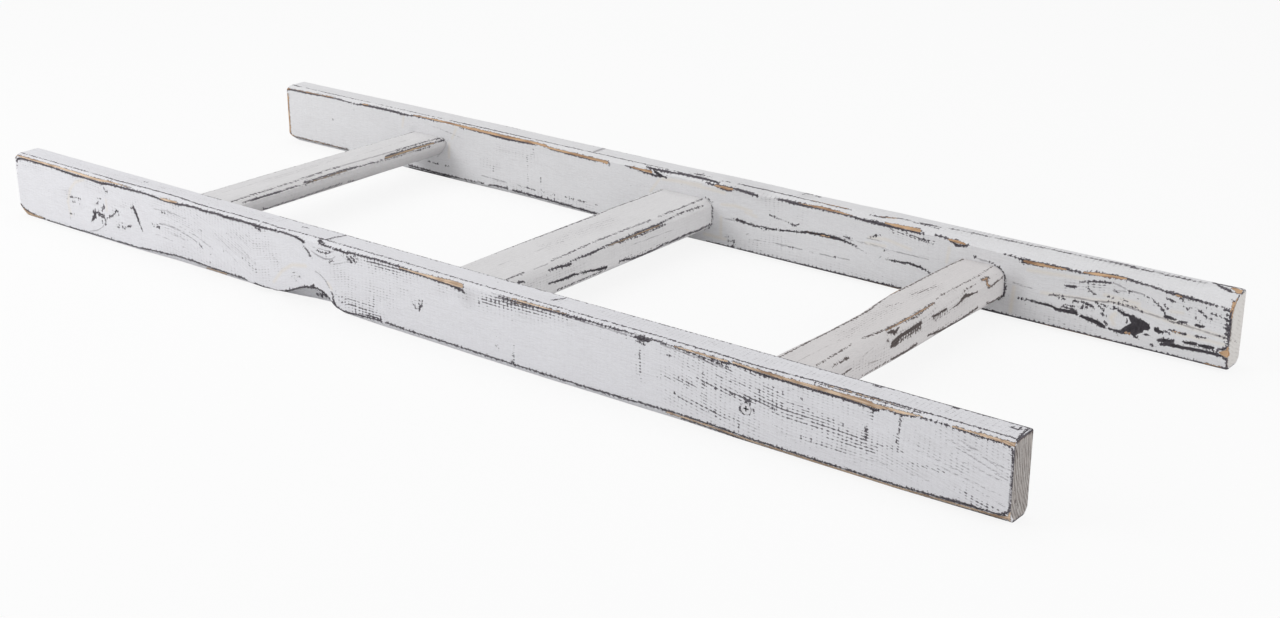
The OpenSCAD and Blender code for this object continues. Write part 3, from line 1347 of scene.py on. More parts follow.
@dataclass(frozen=True)
class Lamp:
    """One soft square lamp.

    Attributes:
        name: its name.
        at: its place.
        aim: the point it shines at.
        size: its side.
        power: its power in watts.
    """

    name: str
    at: Spot
    aim: Spot
    size: float
    power: float

    def hang(self) -> None:
        """Adds the lamp to the scene."""
        light = bpy.data.lights.new(self.name, "AREA")
        light.shape, light.size, light.energy = "SQUARE", self.size * MM, self.power
        lamp = placed(self.name, light)
        lamp.location = Vector(self.at) * MM
        lamp.rotation_euler = (Vector(self.at) - Vector(self.aim)).to_track_quat("Z", "Y").to_euler()


@dataclass(frozen=True)
class Studio:
    """The floor and the soft lights.

    Attributes:
        floor_half: half the floor's side.
        sky: strength of the even light.
        floor_glow: share of plain white in the floor that the camera sees.
        floor_drop: how far the floor lies below the ladder.
        floor_tone: its paleness.
        lamps: the lamps that hang round it.
    """

    floor_half: float = 9000.0
    sky: float = 0.5
    floor_glow: float = 0.86
    floor_drop: float = 0.05
    floor_tone: float = 0.86
    lamps: tuple[Lamp, ...] = (
        Lamp("key", at=(-1300.0, -1400.0, 1250.0), aim=(-400.0, 0.0, 0.0), size=1400.0, power=17.0),
        Lamp("low", at=(-900.0, -2600.0, 260.0), aim=(-100.0, 0.0, 0.0), size=1200.0, power=7.0),
        Lamp("overhead", at=(-500.0, 900.0, 2400.0), aim=(-100.0, 100.0, 0.0), size=2000.0, power=15.0),
        Lamp("side", at=(2300.0, -300.0, 850.0), aim=(200.0, 0.0, 0.0), size=1400.0, power=13.5),
    )

    def camera(self) -> None:
        """Places the camera as the photograph's and makes it the scene's."""
        lens = bpy.data.cameras.new("camera")
        lens.sensor_fit, lens.sensor_width, lens.lens = "HORIZONTAL", 36.0, VIEW.lens
        lens.clip_start, lens.clip_end = 0.05, 60.0
        camera = placed("camera", lens)
        camera.location = VIEW.eye() * MM
        camera.rotation_euler = VIEW.back().to_track_quat("Z", "Y").to_euler()
        bpy.context.scene.camera = camera

    def world(self) -> None:
        """Lights the scene evenly, and shows white behind it."""
        board = NodeBoard(bpy.data.worlds.new("studio"))
        path = board.node("ShaderNodeLightPath")
        seen, mirrored = (Wire(board, path.outputs[f"Is {ray} Ray"]) for ray in ("Camera", "Glossy"))
        strength = board.node("ShaderNodeMapRange")
        for name, value in (("Value", seen.top(mirrored)), ("To Min", self.sky), ("To Max", 1.0)):
            board.feed(strength.inputs[name], value)
        glow = board.node("ShaderNodeBackground")
        board.feed(glow.inputs["Color"], (1.0, 1.0, 1.0, 1.0))
        board.feed(glow.inputs["Strength"], Wire(board, strength.outputs["Result"]))
        bpy.context.scene.world = board.close(glow, "ShaderNodeOutputWorld")

    def floor(self) -> None:
        """Lays the pale floor, which shows nearly white to the camera and keeps the shadow."""
        half = self.floor_half * MM
        mesh = bpy.data.meshes.new("floor")
        corners = [(-half, -half, 0), (half, -half, 0), (half, half, 0), (-half, half, 0)]
        mesh.from_pydata(corners, [], [(0, 1, 2, 3)])
        floor = placed("floor", mesh)
        floor.location.z = -self.floor_drop * MM
        board = NodeBoard(bpy.data.materials.new("floor_white"))
        card = board.node("ShaderNodeBsdfDiffuse")
        board.feed(card.inputs["Color"], (*[self.floor_tone] * 3, 1.0))
        glow = board.node("ShaderNodeEmission")
        blend = board.node("ShaderNodeMixShader")
        seen = board.read("ShaderNodeLightPath", "Is Camera Ray")
        board.feed(blend.inputs["Fac"], seen * self.floor_glow)
        board.feed(blend.inputs[1], Wire(board, card.outputs[0]))
        board.feed(blend.inputs[2], Wire(board, glow.outputs[0]))
        mesh.materials.append(board.close(blend))
        floor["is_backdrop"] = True

    def build(self) -> None:
        """Builds the whole studio."""
        bpy.context.scene.view_settings.view_transform = "Standard"
        self.camera()
        self.world()
        self.floor()
        for lamp in self.lamps:
            lamp.hang()


# The front rail's upper bevel over its top, and the width and height of its lower outer
# arris, which opens into the hollow of an edge knot between -190 and -100
FRONT_TOP_RIDGE = Course((
    (-600,5.7), (-450,5.7), (-430,4.8), (-400,6.4), (-350,7.6), (-330,7), (-310,5), (-285,4.3), (-240,5.4),
    (-200,5.4), (-185,4.0), (-155,6), (0,6), (50,5), (100,5), (200,4.2), (270,4.5), (310,3.6), (330,4),
    (370,2.2), (400,3.4), (430,5.0), (500,5.2), (600,4.8),
))
FRONT_FOOT = Course((
    (-600,4.8), (-500,4.8), (-400,5.8), (-350,8), (-300,9), (-215,9), (-200,11), (-190,13), (-172,15.6),
    (-156,19), (-136,21.2), (-125,20.4), (-117,16.5), (-110,11), (-100,8.4), (-50,6.6), (0,6), (150,5.4),
    (300,6.6), (350,5.4), (500,5.8), (600,9),
))
FRONT_RIM = Course((
    (-600,9.0), (-580,5.0), (-555,4.0), (-480,4.4), (-400,5.0), (-370,7.4), (-340,9.0), (-310,9.2),
    (-285,8.0), (-240,7.6), (-215,5.4), (-190,5.4), (-178,8), (-165,13), (-155,17), (-147,19.5), (-140,21),
    (-134,21.4), (-127,20.6), (-120,18), (-115,13.6), (-111,9.6), (-107,7.2), (-100,5.8), (-85,6.4),
    (-45,8.4), (-15,7.2), (60,6.9), (120,6.4), (200,6.5), (240,7.2), (290,8.6), (330,8.0), (370,6.4),
    (430,6.0), (500,6.0), (560,7.6), (600,8.8),
))
FRONT_SCOOP = Course(((-215,0.25), (-188,-0.4), (-170,-0.9), (-120,-0.9), (-108,-0.2), (-100,0.25)))

FRONT_LEFT = (
    bare((-598,64,1), (-595,68.6,5), (-585,68.4,9), (-520,68.2,9), (-490,67.8,10), (-470,67.2,11),
        (-452,67.2,11), (-440,68.4,9), (-425,68.8,5), (-400,68.8,1)),
    dark((-596.6,61.6,8), (-593,65,11), (-585,66.4,11), (-560,66.6,8), (-530,66,6), (-505,65,9),
        (-494,64.6,11), (-480,65,7), (-460,64.6,9), (-449,64.4,13), (-440,65.8,10), (-420,66,9),
        (-380,67,8), (-365,66.2,7), (-350,65.2,8), (-330,65.8,9), (-318,67,9), (-300,67.4,8),
        (-290,66.5,12), (-284,67,9), (-268,67.4,8), (-258,66.8,12), (-240,67.2,10), (-220,67.4,9),
        (-210,66.8,12), (-190,67.6,8), (-170,68,6), (-158,67.2,8), (-152,66,11), (-146.4,64.4,14)),
    grain((-590,63,30), (-550,64,30)), grain((-500,62,30), (-450,62,40)),
    grain((-360,62,40), (-200,63,50)), bare((-356,66.6,5), (-345,66.6,10), (-336,66.9,10), (-330,67.4,5)),
    dark((-214,65,6), (-207,63,8)), dark((-147,60,5), (-142,56.6,6), (-138,51.6,7)),
    dark((-126,69.4,9), (-121,70.2,12)), dark((-125,67.6,9), (-119,67,8), (-108,67,4)),
    dark((-129,60.2,2), (-122,59,5), (-114,60,3), (-110,61.6,2)), hair((-134,62,2), (-108,62.6,3)),
    hair((-137,58,3), (-128,54.8,7), (-118,53.6,7), (-110,55,5), (-104,59,3)),
    dark((-112.6,51.4,5), (-108,54,3)), grain((-118,57,60)),
    # Rounded end: dots, and the bare lower corner
    dark((-597.4,57,4)), dark((-597.8,53.6,2)), dark((-598,47,3)),
    bare((-600,14,6), (-597,8,16), (-590,5,22), (-578,4.2,10), (-560,4.4,4)),
    dark((-600,14,8), (-594,9.4,8), (-582,5.8,7), (-570,4.6,8), (-557,4.2,8)),
    *FRONT_RIM.traced(dark, (-552,-494,-0.6,4), (-492,-400,0.0,4), (-400,-232,0.0,5), (-222,-192,-0.2,6)),
    bare((-292,6.4,4), (-262,6.4,5)), grain((-360,12,30), (-250,12,30)),
    # Knot by the end
    stain((-509,18,1), (-512,32,2), (-506,47,3), (-496,57,3), (-480,63,1)),
    stain((-446,47,1), (-446,36,1)), hair((-510,12,1), (-511.6,26,1)),
    dark((-473.6,19,6), (-470,22.6,17), (-467,26,19), (-469,30,11), (-467.6,32,4)),
    dark((-465.6,29.4,9), (-461,31,8), (-456,29.4,6), (-452,30.4,7)),
    dark((-461,27.8,4), (-455,26.6,5), (-451.6,28.6,5)),
    dark((-455,33.6,5), (-451.6,36.4,5), (-450,39.6,8)), dark((-454,37,3), (-449,41,4)),
    dark((-462,40.4,3), (-459,42.6,3)), dark((-458.6,45.8,3), (-454,47.4,4)),
    dark((-452.4,26,5), (-449.6,22.6,6)), dark((-455.6,22.4,3)), dark((-450.4,19.4,6)),
    dark((-456,19.6,3)), dark((-507,38.4,1), (-500,39.2,3), (-489,40,2)),
    dark((-503.6,34,5), (-500,35,3)), dark((-510,19.6,7), (-507.6,20,5)), dark((-503.6,19.6,3)),
    dark((-491.6,33.6,3)), dark((-492,37.4,2)),
    hair((-478,6.6,2), (-466,9.8,4), (-457,15,4), (-450,22,4), (-446.6,28,3)),
    dark((-447,26.6,2), (-443,29.8,6), (-440,30.4,8), (-436,32.8,4), (-432,36,5), (-430,39,9),
        (-427,38,5)),
    dark((-434.6,38.6,3)), dark((-426,34.4,3)), dark((-423,38,3)), dark((-450.4,63,7)),
    dark((-447,59.6,8), (-446,56.4,5)), dark((-442.8,57,10)), dark((-444.6,54.4,4)), grain((-446,59,30)),
    grain((-462,32,50)), dark((-429,23.8,5), (-429.6,19.6,5)), dark((-422,23,9)), dark((-419.6,21.4,6)),
    dark((-416,23.4,8)), dark((-413.6,25.4,4), (-410,25.4,6), (-407.6,27,3)), grain((-425,24,40)),
    grain((-432,38,30)), grain((-512,40,40)), grain((-414,46,50)), grain((-400,48,50)),
    # Scratch like a spindle
    dark((-402.4,51,3), (-401,48.6,9), (-399,45,14), (-397,41,15), (-395,36,13), (-392.6,30.6,9),
        (-389.6,25,4)),
    dark((-405.6,46.4,2), (-402,46.8,7)),
    # Screw filled with paint
    dark((-372.4,36,3)), dark((-369.6,34.4,5)), dark((-364.6,37.6,2), (-363,36,7), (-363,33.4,7)),
    dark((-361,35.2,5)), dark((-365,34.2,3)),
    # Grain that bends down to the right of it
    grain((-352,54,50), (-330,50,60), (-300,42,60)), grain((-352,36,50), (-320,32,60)),
    grain((-340,14,40)), grain((-272,44,40), (-240,38,50), (-226,24,60)), grain((-300,24,50)),
    grain((-250,54,60), (-200,44,70)), hair((-368,53.4,2), (-350,54.6,5), (-335,54,4), (-318,52.4,2)),
    dark((-357.6,51.4,2), (-351,51.6,3)),
    hair((-361,38.8,5), (-346,40,7), (-330,38,5), (-312,33.6,6), (-304,30.8,6)),
    dark((-303,30,1), (-296,27.4,5)), hair((-330,43,1), (-304,37,4), (-280,29,3)),
    hair((-345,32,3), (-320,29,2)), hair((-372,26,1), (-342,24.4,2)),
    hair((-256,50,2), (-230,34,3), (-222,28,1)), hair((-250,56,1), (-222,40,3)),
    hair((-276,46,1), (-246,30,3)), hair((-240,60,1), (-212,46,2)), hair((-268,36,1), (-244,22,2)),
    dark((-258,49.4,6)), dark((-263,30.2,5)), dark((-285,22,3)), dark((-286,12.4,5)), dark((-297,45.2,5)),
    dark((-326,21,3)), dark((-236,28,3)), dark((-219.6,26,4)), dark((-218,21.4,4)), dark((-226.6,20.6,3)),
    weave((-228,26,4), (-216,18,6)),
)
FRONT_HOLLOW = (
    dark((-192,5.3,4), (-178,7.6,5), (-165,12.6,5), (-155,16.8,6), (-147,19.2,7), (-137,21.2,7),
        (-128,20.6,6), (-120,18,6), (-114,12.8,8), (-109,8.6,11), (-100,6,9)),
    dark((-140,21.6,6), (-136,23,7)), dark((-110.4,20.4,8), (-109.6,13,11), (-107.6,8.6,15)),
    dark((-133,15.4,3), (-126,16,9), (-120,16.4,6)), dark((-126,14,4), (-119,15,4)),
    stain((-193,14,1), (-180,28,3), (-165,37.4,5), (-146,40.6,6)), stain((-116,30,4), (-112,25,3)),
    hair((-134,38,3), (-127,36.4,5), (-120,32,5), (-113.6,24,4)), dark((-119,31.8,3)),
    dark((-113.4,22,4)), dark((-165.6,26.4,4)), dark((-160.6,22.8,5)), dark((-159,25.6,4)),
    dark((-160.6,30.2,4)), dark((-155.6,27.6,3)), dark((-164,30,2)), grain((-200,48,50), (-186,34,60)),
    grain((-162,27,30)), grain((-205,22,60)), hair((-206,50,1), (-182,34,2)),
)
FRONT_MIDDLE = (
    dark((-105,66,7), (-96,66.4,8), (-90,65.6,8), (-84,67,6), (-50,67.8,6), (-20,67.4,6), (0,66.6,5)),
    dark((-90,63,4), (-84,60.2,6)), dark((-87,59.8,4), (-82,58,6)), dark((-85,63.8,4), (-79,61.4,5)),
    dark((-81,60.6,4), (-76,58.8,4)), dark((-79,64.8,4), (-74,62.4,4)), hair((-96,62,3), (-84,57,3)),
    hair((-108,50,2), (-88,57,2)), grain((-86,61,40)),
    grain((-72,62,60), (-50,61,80), (-20,61,80), (2,64,40)),
    weave((-72,65.6,8), (-56,64.4,18), (-44,64.4,16), (-30,65,12), (-10,64.8,12), (0,65,6)),
    weave((-52,61,5), (-44,60.6,3), (-22,60.6,6)), grain((-106,44,60), (-84,36,70)),
    grain((-96,17,80), (-60,17,90)), grain((-62,36,80), (-36,34,70)), grain((-16,45,50)),
    weave((-106,19.6,5), (-76,19.8,5), (-56,19.6,3)), weave((-102,15,8), (-66,14,10), (-50,14,4)),
    weave((-63,28,3), (-62.6,19,6)), weave((-55.6,28,3), (-55.6,20,4)), dark((-86,15.4,3), (-80,15.4,3)),
    # Screw filled with paint
    dark((-5.4,36.4,2), (-3,34,4), (0,31,5)), dark((1.6,30.2,4), (3.6,32,5)),
    dark((4.4,34,9), (6.6,37,4)), dark((3,36.6,3)), dark((2.4,40.2,3), (7,40.2,3)), dark((9,35.4,3)),
    grain((-2,38,30)),
    # Wedge of bare wood
    bare((-20,66.4,4), (10,66.3,8), (30,66.4,14), (45,66.5,20), (56,66.5,22)),
    dark((-20,65.2,5), (10,64.9,6), (40,64,7), (50,63,11), (57,62,12), (60,60,9)),
    dark((57.6,68,6), (58,64,8)), grain((30,61,40), (56,61,50), (64,57,50)), grain((-6,30,30)),
    dust((64,57,10)),
    # Fringe of rubbed paint
    weave((74,55.4,5), (88,56.6,9), (104,58,8), (128,60,5), (160,62,2)),
    weave((80,59.6,10), (92,60.4,16), (110,62,16), (135,64,13), (165,65.6,10), (200,66,6)),
    weave((86,63,8), (104,65,16), (125,66.4,15), (160,67,10), (200,67.4,7)),
    dark((100,66.6,1), (120,66.2,5), (150,66.8,6), (200,67.6,5), (272,67.8,4)),
    dark((104,63.6,1), (124,64.6,3), (140,65.2,2)), hair((92,67.6,3), (112,68.2,4)),
    grain((78,57,60), (120,61,80), (180,63,50)),
    bare((104,67.8,0), (126,68,5), (150,68.2,6), (180,68.3,2)), bare((112,65.4,1), (128,65.6,2)),
    dark((97,19.8,7)), dark((97,23,3)), dark((97.4,26.6,2)), dark((102,26,3)),
    weave((116.4,24,3), (116,19,10), (115.8,11,13)), dark((115.6,8.6,11)), dark((116,16.6,7)),
    dark((116,13.6,6)), *FRONT_RIM.traced(dark, (-100,-47,0.0,6), (-41,250,0.0,4.5)),
    grain((-96,10,30), (-46,12,30)), dark((-72,8.6,3), (-60,9.6,5), (-48,9.6,5)),
    weave((-84,10,8), (-62,11.4,14), (-46,11.6,12)),
)
FRONT_RIGHT = (
    *FRONT_RIM.traced(dark, (250,598,0.0,5)), *FRONT_RIM.traced(bare, (285,598,-1.7,5)),
    *FRONT_RIM.traced(dark, (300,598,-3.1,3)), hair((176,65.6,3), (250,65.4,5)),
    weave((186,65.4,2), (250,65.6,8)), dark((250,67.6,3), (267,67.2,3)),
    dark((250,65.4,4), (256,65.4,13), (265,65.4,14)), dark((253,61.8,2), (262,61.4,4)),
    weave((240,63.4,2), (266,62.6,6)),
    dark((268,67.8,3), (290,67,4), (312,65.4,4), (330,64.2,5), (346,62.6,3)),
    weave((300,64.6,2), (330,62.4,8), (350,60.4,5)),
    hair((278,65.6,4), (300,64.2,4), (330,61.8,4), (345,60.4,3)), dark((326,66.4,3), (346,65.4,6)),
    bare((292,67.2,2), (310,67.4,6), (330,67.2,7), (345,67.5,5)),
    bare((350,68,5), (370,67.3,9), (400,66.9,11), (440,67,13), (460,67.1,16), (478,66.5,20),
        (484,65.8,15), (491,66.8,9), (505,66.9,10), (515,67.7,6), (524,68.3,1)),
    dark((345,66.6,5), (365,65.8,7), (383,64.8,10), (400,65,9)), weave((360,63.6,6), (383,62.6,8)),
    dark((400,65,7), (410,64.6,10), (455,64.6,10), (475,63.6,9), (482,62.4,12), (486,63.6,7)),
    dark((488,65,3), (497,65.3,3), (507,64.7,4), (513,66,3), (524,67.4,3), (548,67.2,3)),
    bare((548,67.6,3), (575,67.6,9), (590,67.2,11), (599,67,15)),
    dark((550,66.4,3), (572,65.8,4), (595,65.4,4), (598.6,63,6)),
    grain((280,62,40), (330,58,70), (390,56,60)), grain((400,59,50), (480,59,40)),
    grain((540,62,40), (594,56,60)),
    # Columns and rows of specks
    grain((256,52,30), (256,34,40)), weave((256,55,6), (256,46,9), (256,30,1)),
    dark((255.6,53,3), (256,48,3)), grain((282,40,60), (312,38,80)),
    grain((320,44,90), (345,42,90), (400,40,90), (456,37,80), (500,36,50)),
    grain((300,56,50), (360,52,70), (400,50,60)), grain((290,22,80), (325,22,90), (372,14,90)),
    grain((400,24,60), (480,22,60), (520,24,60)), weave((276,38,2), (300,39,7), (312,38,9)),
    weave((322,54,4), (322,40,9), (323,20,5), (323,12,2)),
    weave((316,44,6), (345,41.6,10), (352,40.6,14), (366,40,22), (378,41.6,14), (400,40,12)),
    weave((334,52,5), (396,50,4)), weave((296,24,4), (336,20,5), (356,18,3)),
    weave((307,54,2), (307,34,7)), weave((340,46,2), (340,8,3)), weave((357,20,2), (357,8,5)),
    weave((380,56,2), (400,54,5)), weave((370,47,6), (400,44,8)), weave((390,36,4), (412,34,6)),
    dark((293,25.4,8)), dark((332.6,20.2,8)), dark((335,16.4,3)), dark((314,58.4,6)),
    dark((285,58,5), (288,57.6,3)), dark((321.4,51.8,7)), dark((302.6,36,6)), dark((307.4,38.6,7)),
    dark((297.4,41.2,6)), dark((279,36.6,5)), dark((322.6,43,6)), dark((334,41,7)), dark((322.4,30,6)),
    dark((328,19,5)), dark((350,40.6,8)), dark((354.4,42.4,5)),
    dark((361,41,7), (365,38.8,10), (368,39.6,5)), dark((368,36.4,5)), dark((388,38.6,5), (393,38.4,4)),
    hair((375,43.6,1), (392,40.6,2)),
    # Screw with a broken dark ring round its head
    dark((359.2,33.8,1), (358.2,29.8,2), (360.4,26.8,3), (364.4,25.8,2), (368,28,2), (369.2,31.6,1),
        (367.6,34.8,1)),
    dark((362,36.2,2), (366,36.2,2)), dark((371.6,30.6,2), (372.4,33,2)),
    # Dots and combs by the end
    weave((480,61,10), (479.4,53,7)), weave((476,48,13), (475,42,22), (474.4,35,20)), dark((475.6,46,8)),
    dark((475.6,43.6,10)), dark((475,40.6,7)), dark((475,38,9), (477,37.6,4)), dark((474.6,35.4,8)),
    dark((480,60,4)), weave((505,64,14), (505,57,11), (503.4,51,10), (502.6,44,14), (504.6,36,9)),
    dark((505,63.8,7), (507,63.6,4)), dark((505.4,60.8,8)), dark((505,58,4)), dark((503.6,51.8,6)),
    dark((502.6,47.4,6)), dark((503,44,6)), dark((502.6,41,7)),
    weave((390,42.6,10), (412,40,11), (430,38.4,10), (470,35.6,9), (510,35,3)),
    weave((392,36,5), (430,33.4,8), (470,31.4,9), (486,31,4)), weave((410,44,5), (456,43,7)),
    weave((404,48,2), (440,47,3)), weave((440,27,3), (484,28,7)), weave((416,22,6), (460,19.8,2)),
    hair((420,20,1), (440,19.8,1)), hair((462,20,1), (496,20.4,2)), hair((512,19.6,1), (536,17.4,1)),
    dark((454,43,4)), dark((416.6,21,6)), dark((416,53.6,4)), grain((450,30,60), (500,26,60)),
    grain((520,45,60), (560,38,80)), grain((560,16,70), (575,12,60)), grain((590,45,60)),
    hair((552,52,3), (570,47,5), (597,37,4)), hair((556,58,3), (566,54.6,5), (574,54,2)),
    dark((571,51.4,0), (572,53,0)), hair((576,50,4), (586,46.4,3)), hair((548,44,2), (590,36,3)),
    weave((515,28,4), (545,28.6,5)), hair((520,40,2), (560,33,3)), hair((530,34,1), (592,24,2)),
    hair((544,56,1), (598,46,2)), hair((560,26,1), (596,16,2)), dark((571,64.4,5)), dark((591,62.6,1)),
    weave((562,18,5), (576,12,9), (594,12,9)),
    # Ragged right edge
    dark((598.6,63,5), (599,55,2), (600,48,-1), (599.6,38,1), (600,30,-1), (599.8,20,1), (598.8,12,5)),
    hair((599,62,7), (599.4,12,7)), dark((594,9.6,6), (598,12,8)),
    bare((600,12,5), (599.6,8,11), (592,6.6,8), (585,6,4)),
    dark((520,6.6,2), (556,8.4,5), (570,8.6,8), (576,7.4,4)),
)

FRONT_RAIL_MARKS = {
    Side.LOW: FRONT_LEFT + FRONT_HOLLOW + FRONT_MIDDLE + FRONT_RIGHT,
    Side.TOP: (
        *FRONT_TOP_RIDGE.traced(dark, (-597,-445,0.0,3), (-445,-290,0.0,6), (-290,-126,0.0,4.5),
            (-126,300,0.0,3.5), (300,598,0.0,6)),
        dark((425,2.0,2), (450,2.0,4), (505,1.8,4), (525,2.2,2)),
        bare((435,3.4,3), (470,3.6,7), (510,3.6,3)),
        dark((-210,27.9,1), (40,27.9,2), (190,27.9,2), (340,27.9,3)), dark((340,27.9,4), (598,27.9,7)),
        dark((-117,27.5,11), (-119,20,9), (-121.4,12,9), (-122,7,13)),
        dark((-127,3,7), (-120,-1,9), (-114,-4,8)), grain((-119,26,10), (-121,8,10)),
        dark((-170,18.6,3), (-160,20.4,5)), dark((597.4,27,5), (599,10,8), (600,2,8)),
        dark((148,13,4), (152,18,7), (155,25,6)), grain((152,18,50)), grain((592,20,30)),
        dark((465,28.6,11), (467.6,25,9), (471,25.4,10), (473,28.6,9)),
        dark((532,28.6,8), (537,26.6,20), (541,29,9)),
        dark((585,22,7), (589,19.6,10), (594,20.6,8), (592,24.4,5)), dark((-326,28.4,5), (-295,27.4,5)),
        dark((-405,19,3), (-401,20,4)), grain((-560,15,20), (-200,18,30)),
        grain((200,18,30), (590,16,40)),
    ),
    Side.END: (
        dark((0.6,65,9), (0.8,40,5), (0.8,12,4)), dark((3,68,11), (16,69,14), (29,68.6,12)),
        dark((3,62,5), (6,54,3)), bare((0.6,68,9)), bare((0.6,12,6), (1.4,3,10)),
        dark((5,29,0), (9,17,1), (13,10,0)), dark((4,2,8), (26,1,7)),
    ),
    Side.START: (dark((8,68.6,6), (24,68.6,6)), bare((1.5,8,4), (4,3,10), (16,1.4,8))),
    Side.HIGH: (
        dark((-594,66,8), (-200,66.6,7)), bare((-190,67,8), (120,66.4,10)),
        dark((-190,65.4,7), (130,65.2,8)), dark((160,66.4,7), (596,66.4,8)),
        dark((-580,5.4,9), (-60,6.4,10)), dark((-30,6,8), (594,5.6,10)),
        grain((-480,20,140), (-300,30,100)), grain((250,40,160), (480,24,140)),
    ),
}

# Height of the rails, and the height of the back rail's upper inner bevel, which widens to the
# right; then the width of that bevel, and the width and height of its lower inner arris
RAIL_HEIGHT = 70
BACK_RIDGE = Course((
    (-600,66.5), (-450,67.5), (-100,65.5), (50,66), (150,66), (250,65.6), (330,64.5), (400,62.5),
    (470,62), (510,64.5), (560,61.5), (612,57.5),
))
BACK_OVER = Course((
    (-600,6.2), (-100,6.0), (20,6.6), (100,9.5), (220,8.4), (270,12), (300,13.5), (400,18.5), (612,18.5),
))
BACK_FOOT = Course((
    (-600,11), (-480,11), (-380,7.5), (-300,7.5), (-250,8.7), (-200,8.5), (-150,5.5), (-100,4.5), (50,7),
    (200,7), (300,6.5), (400,7.5), (612,8),
))
BACK_RIM = Course((
    (-600,7.6), (-484,7.4), (-380,6.8), (-340,6), (-300,6), (-260,6.3), (-240,7), (-200,7), (-150,5.6),
    (-100,4.2), (50,3.6), (200,3.8), (280,4.6), (400,4.2), (500,4.0), (612,4.0),
))

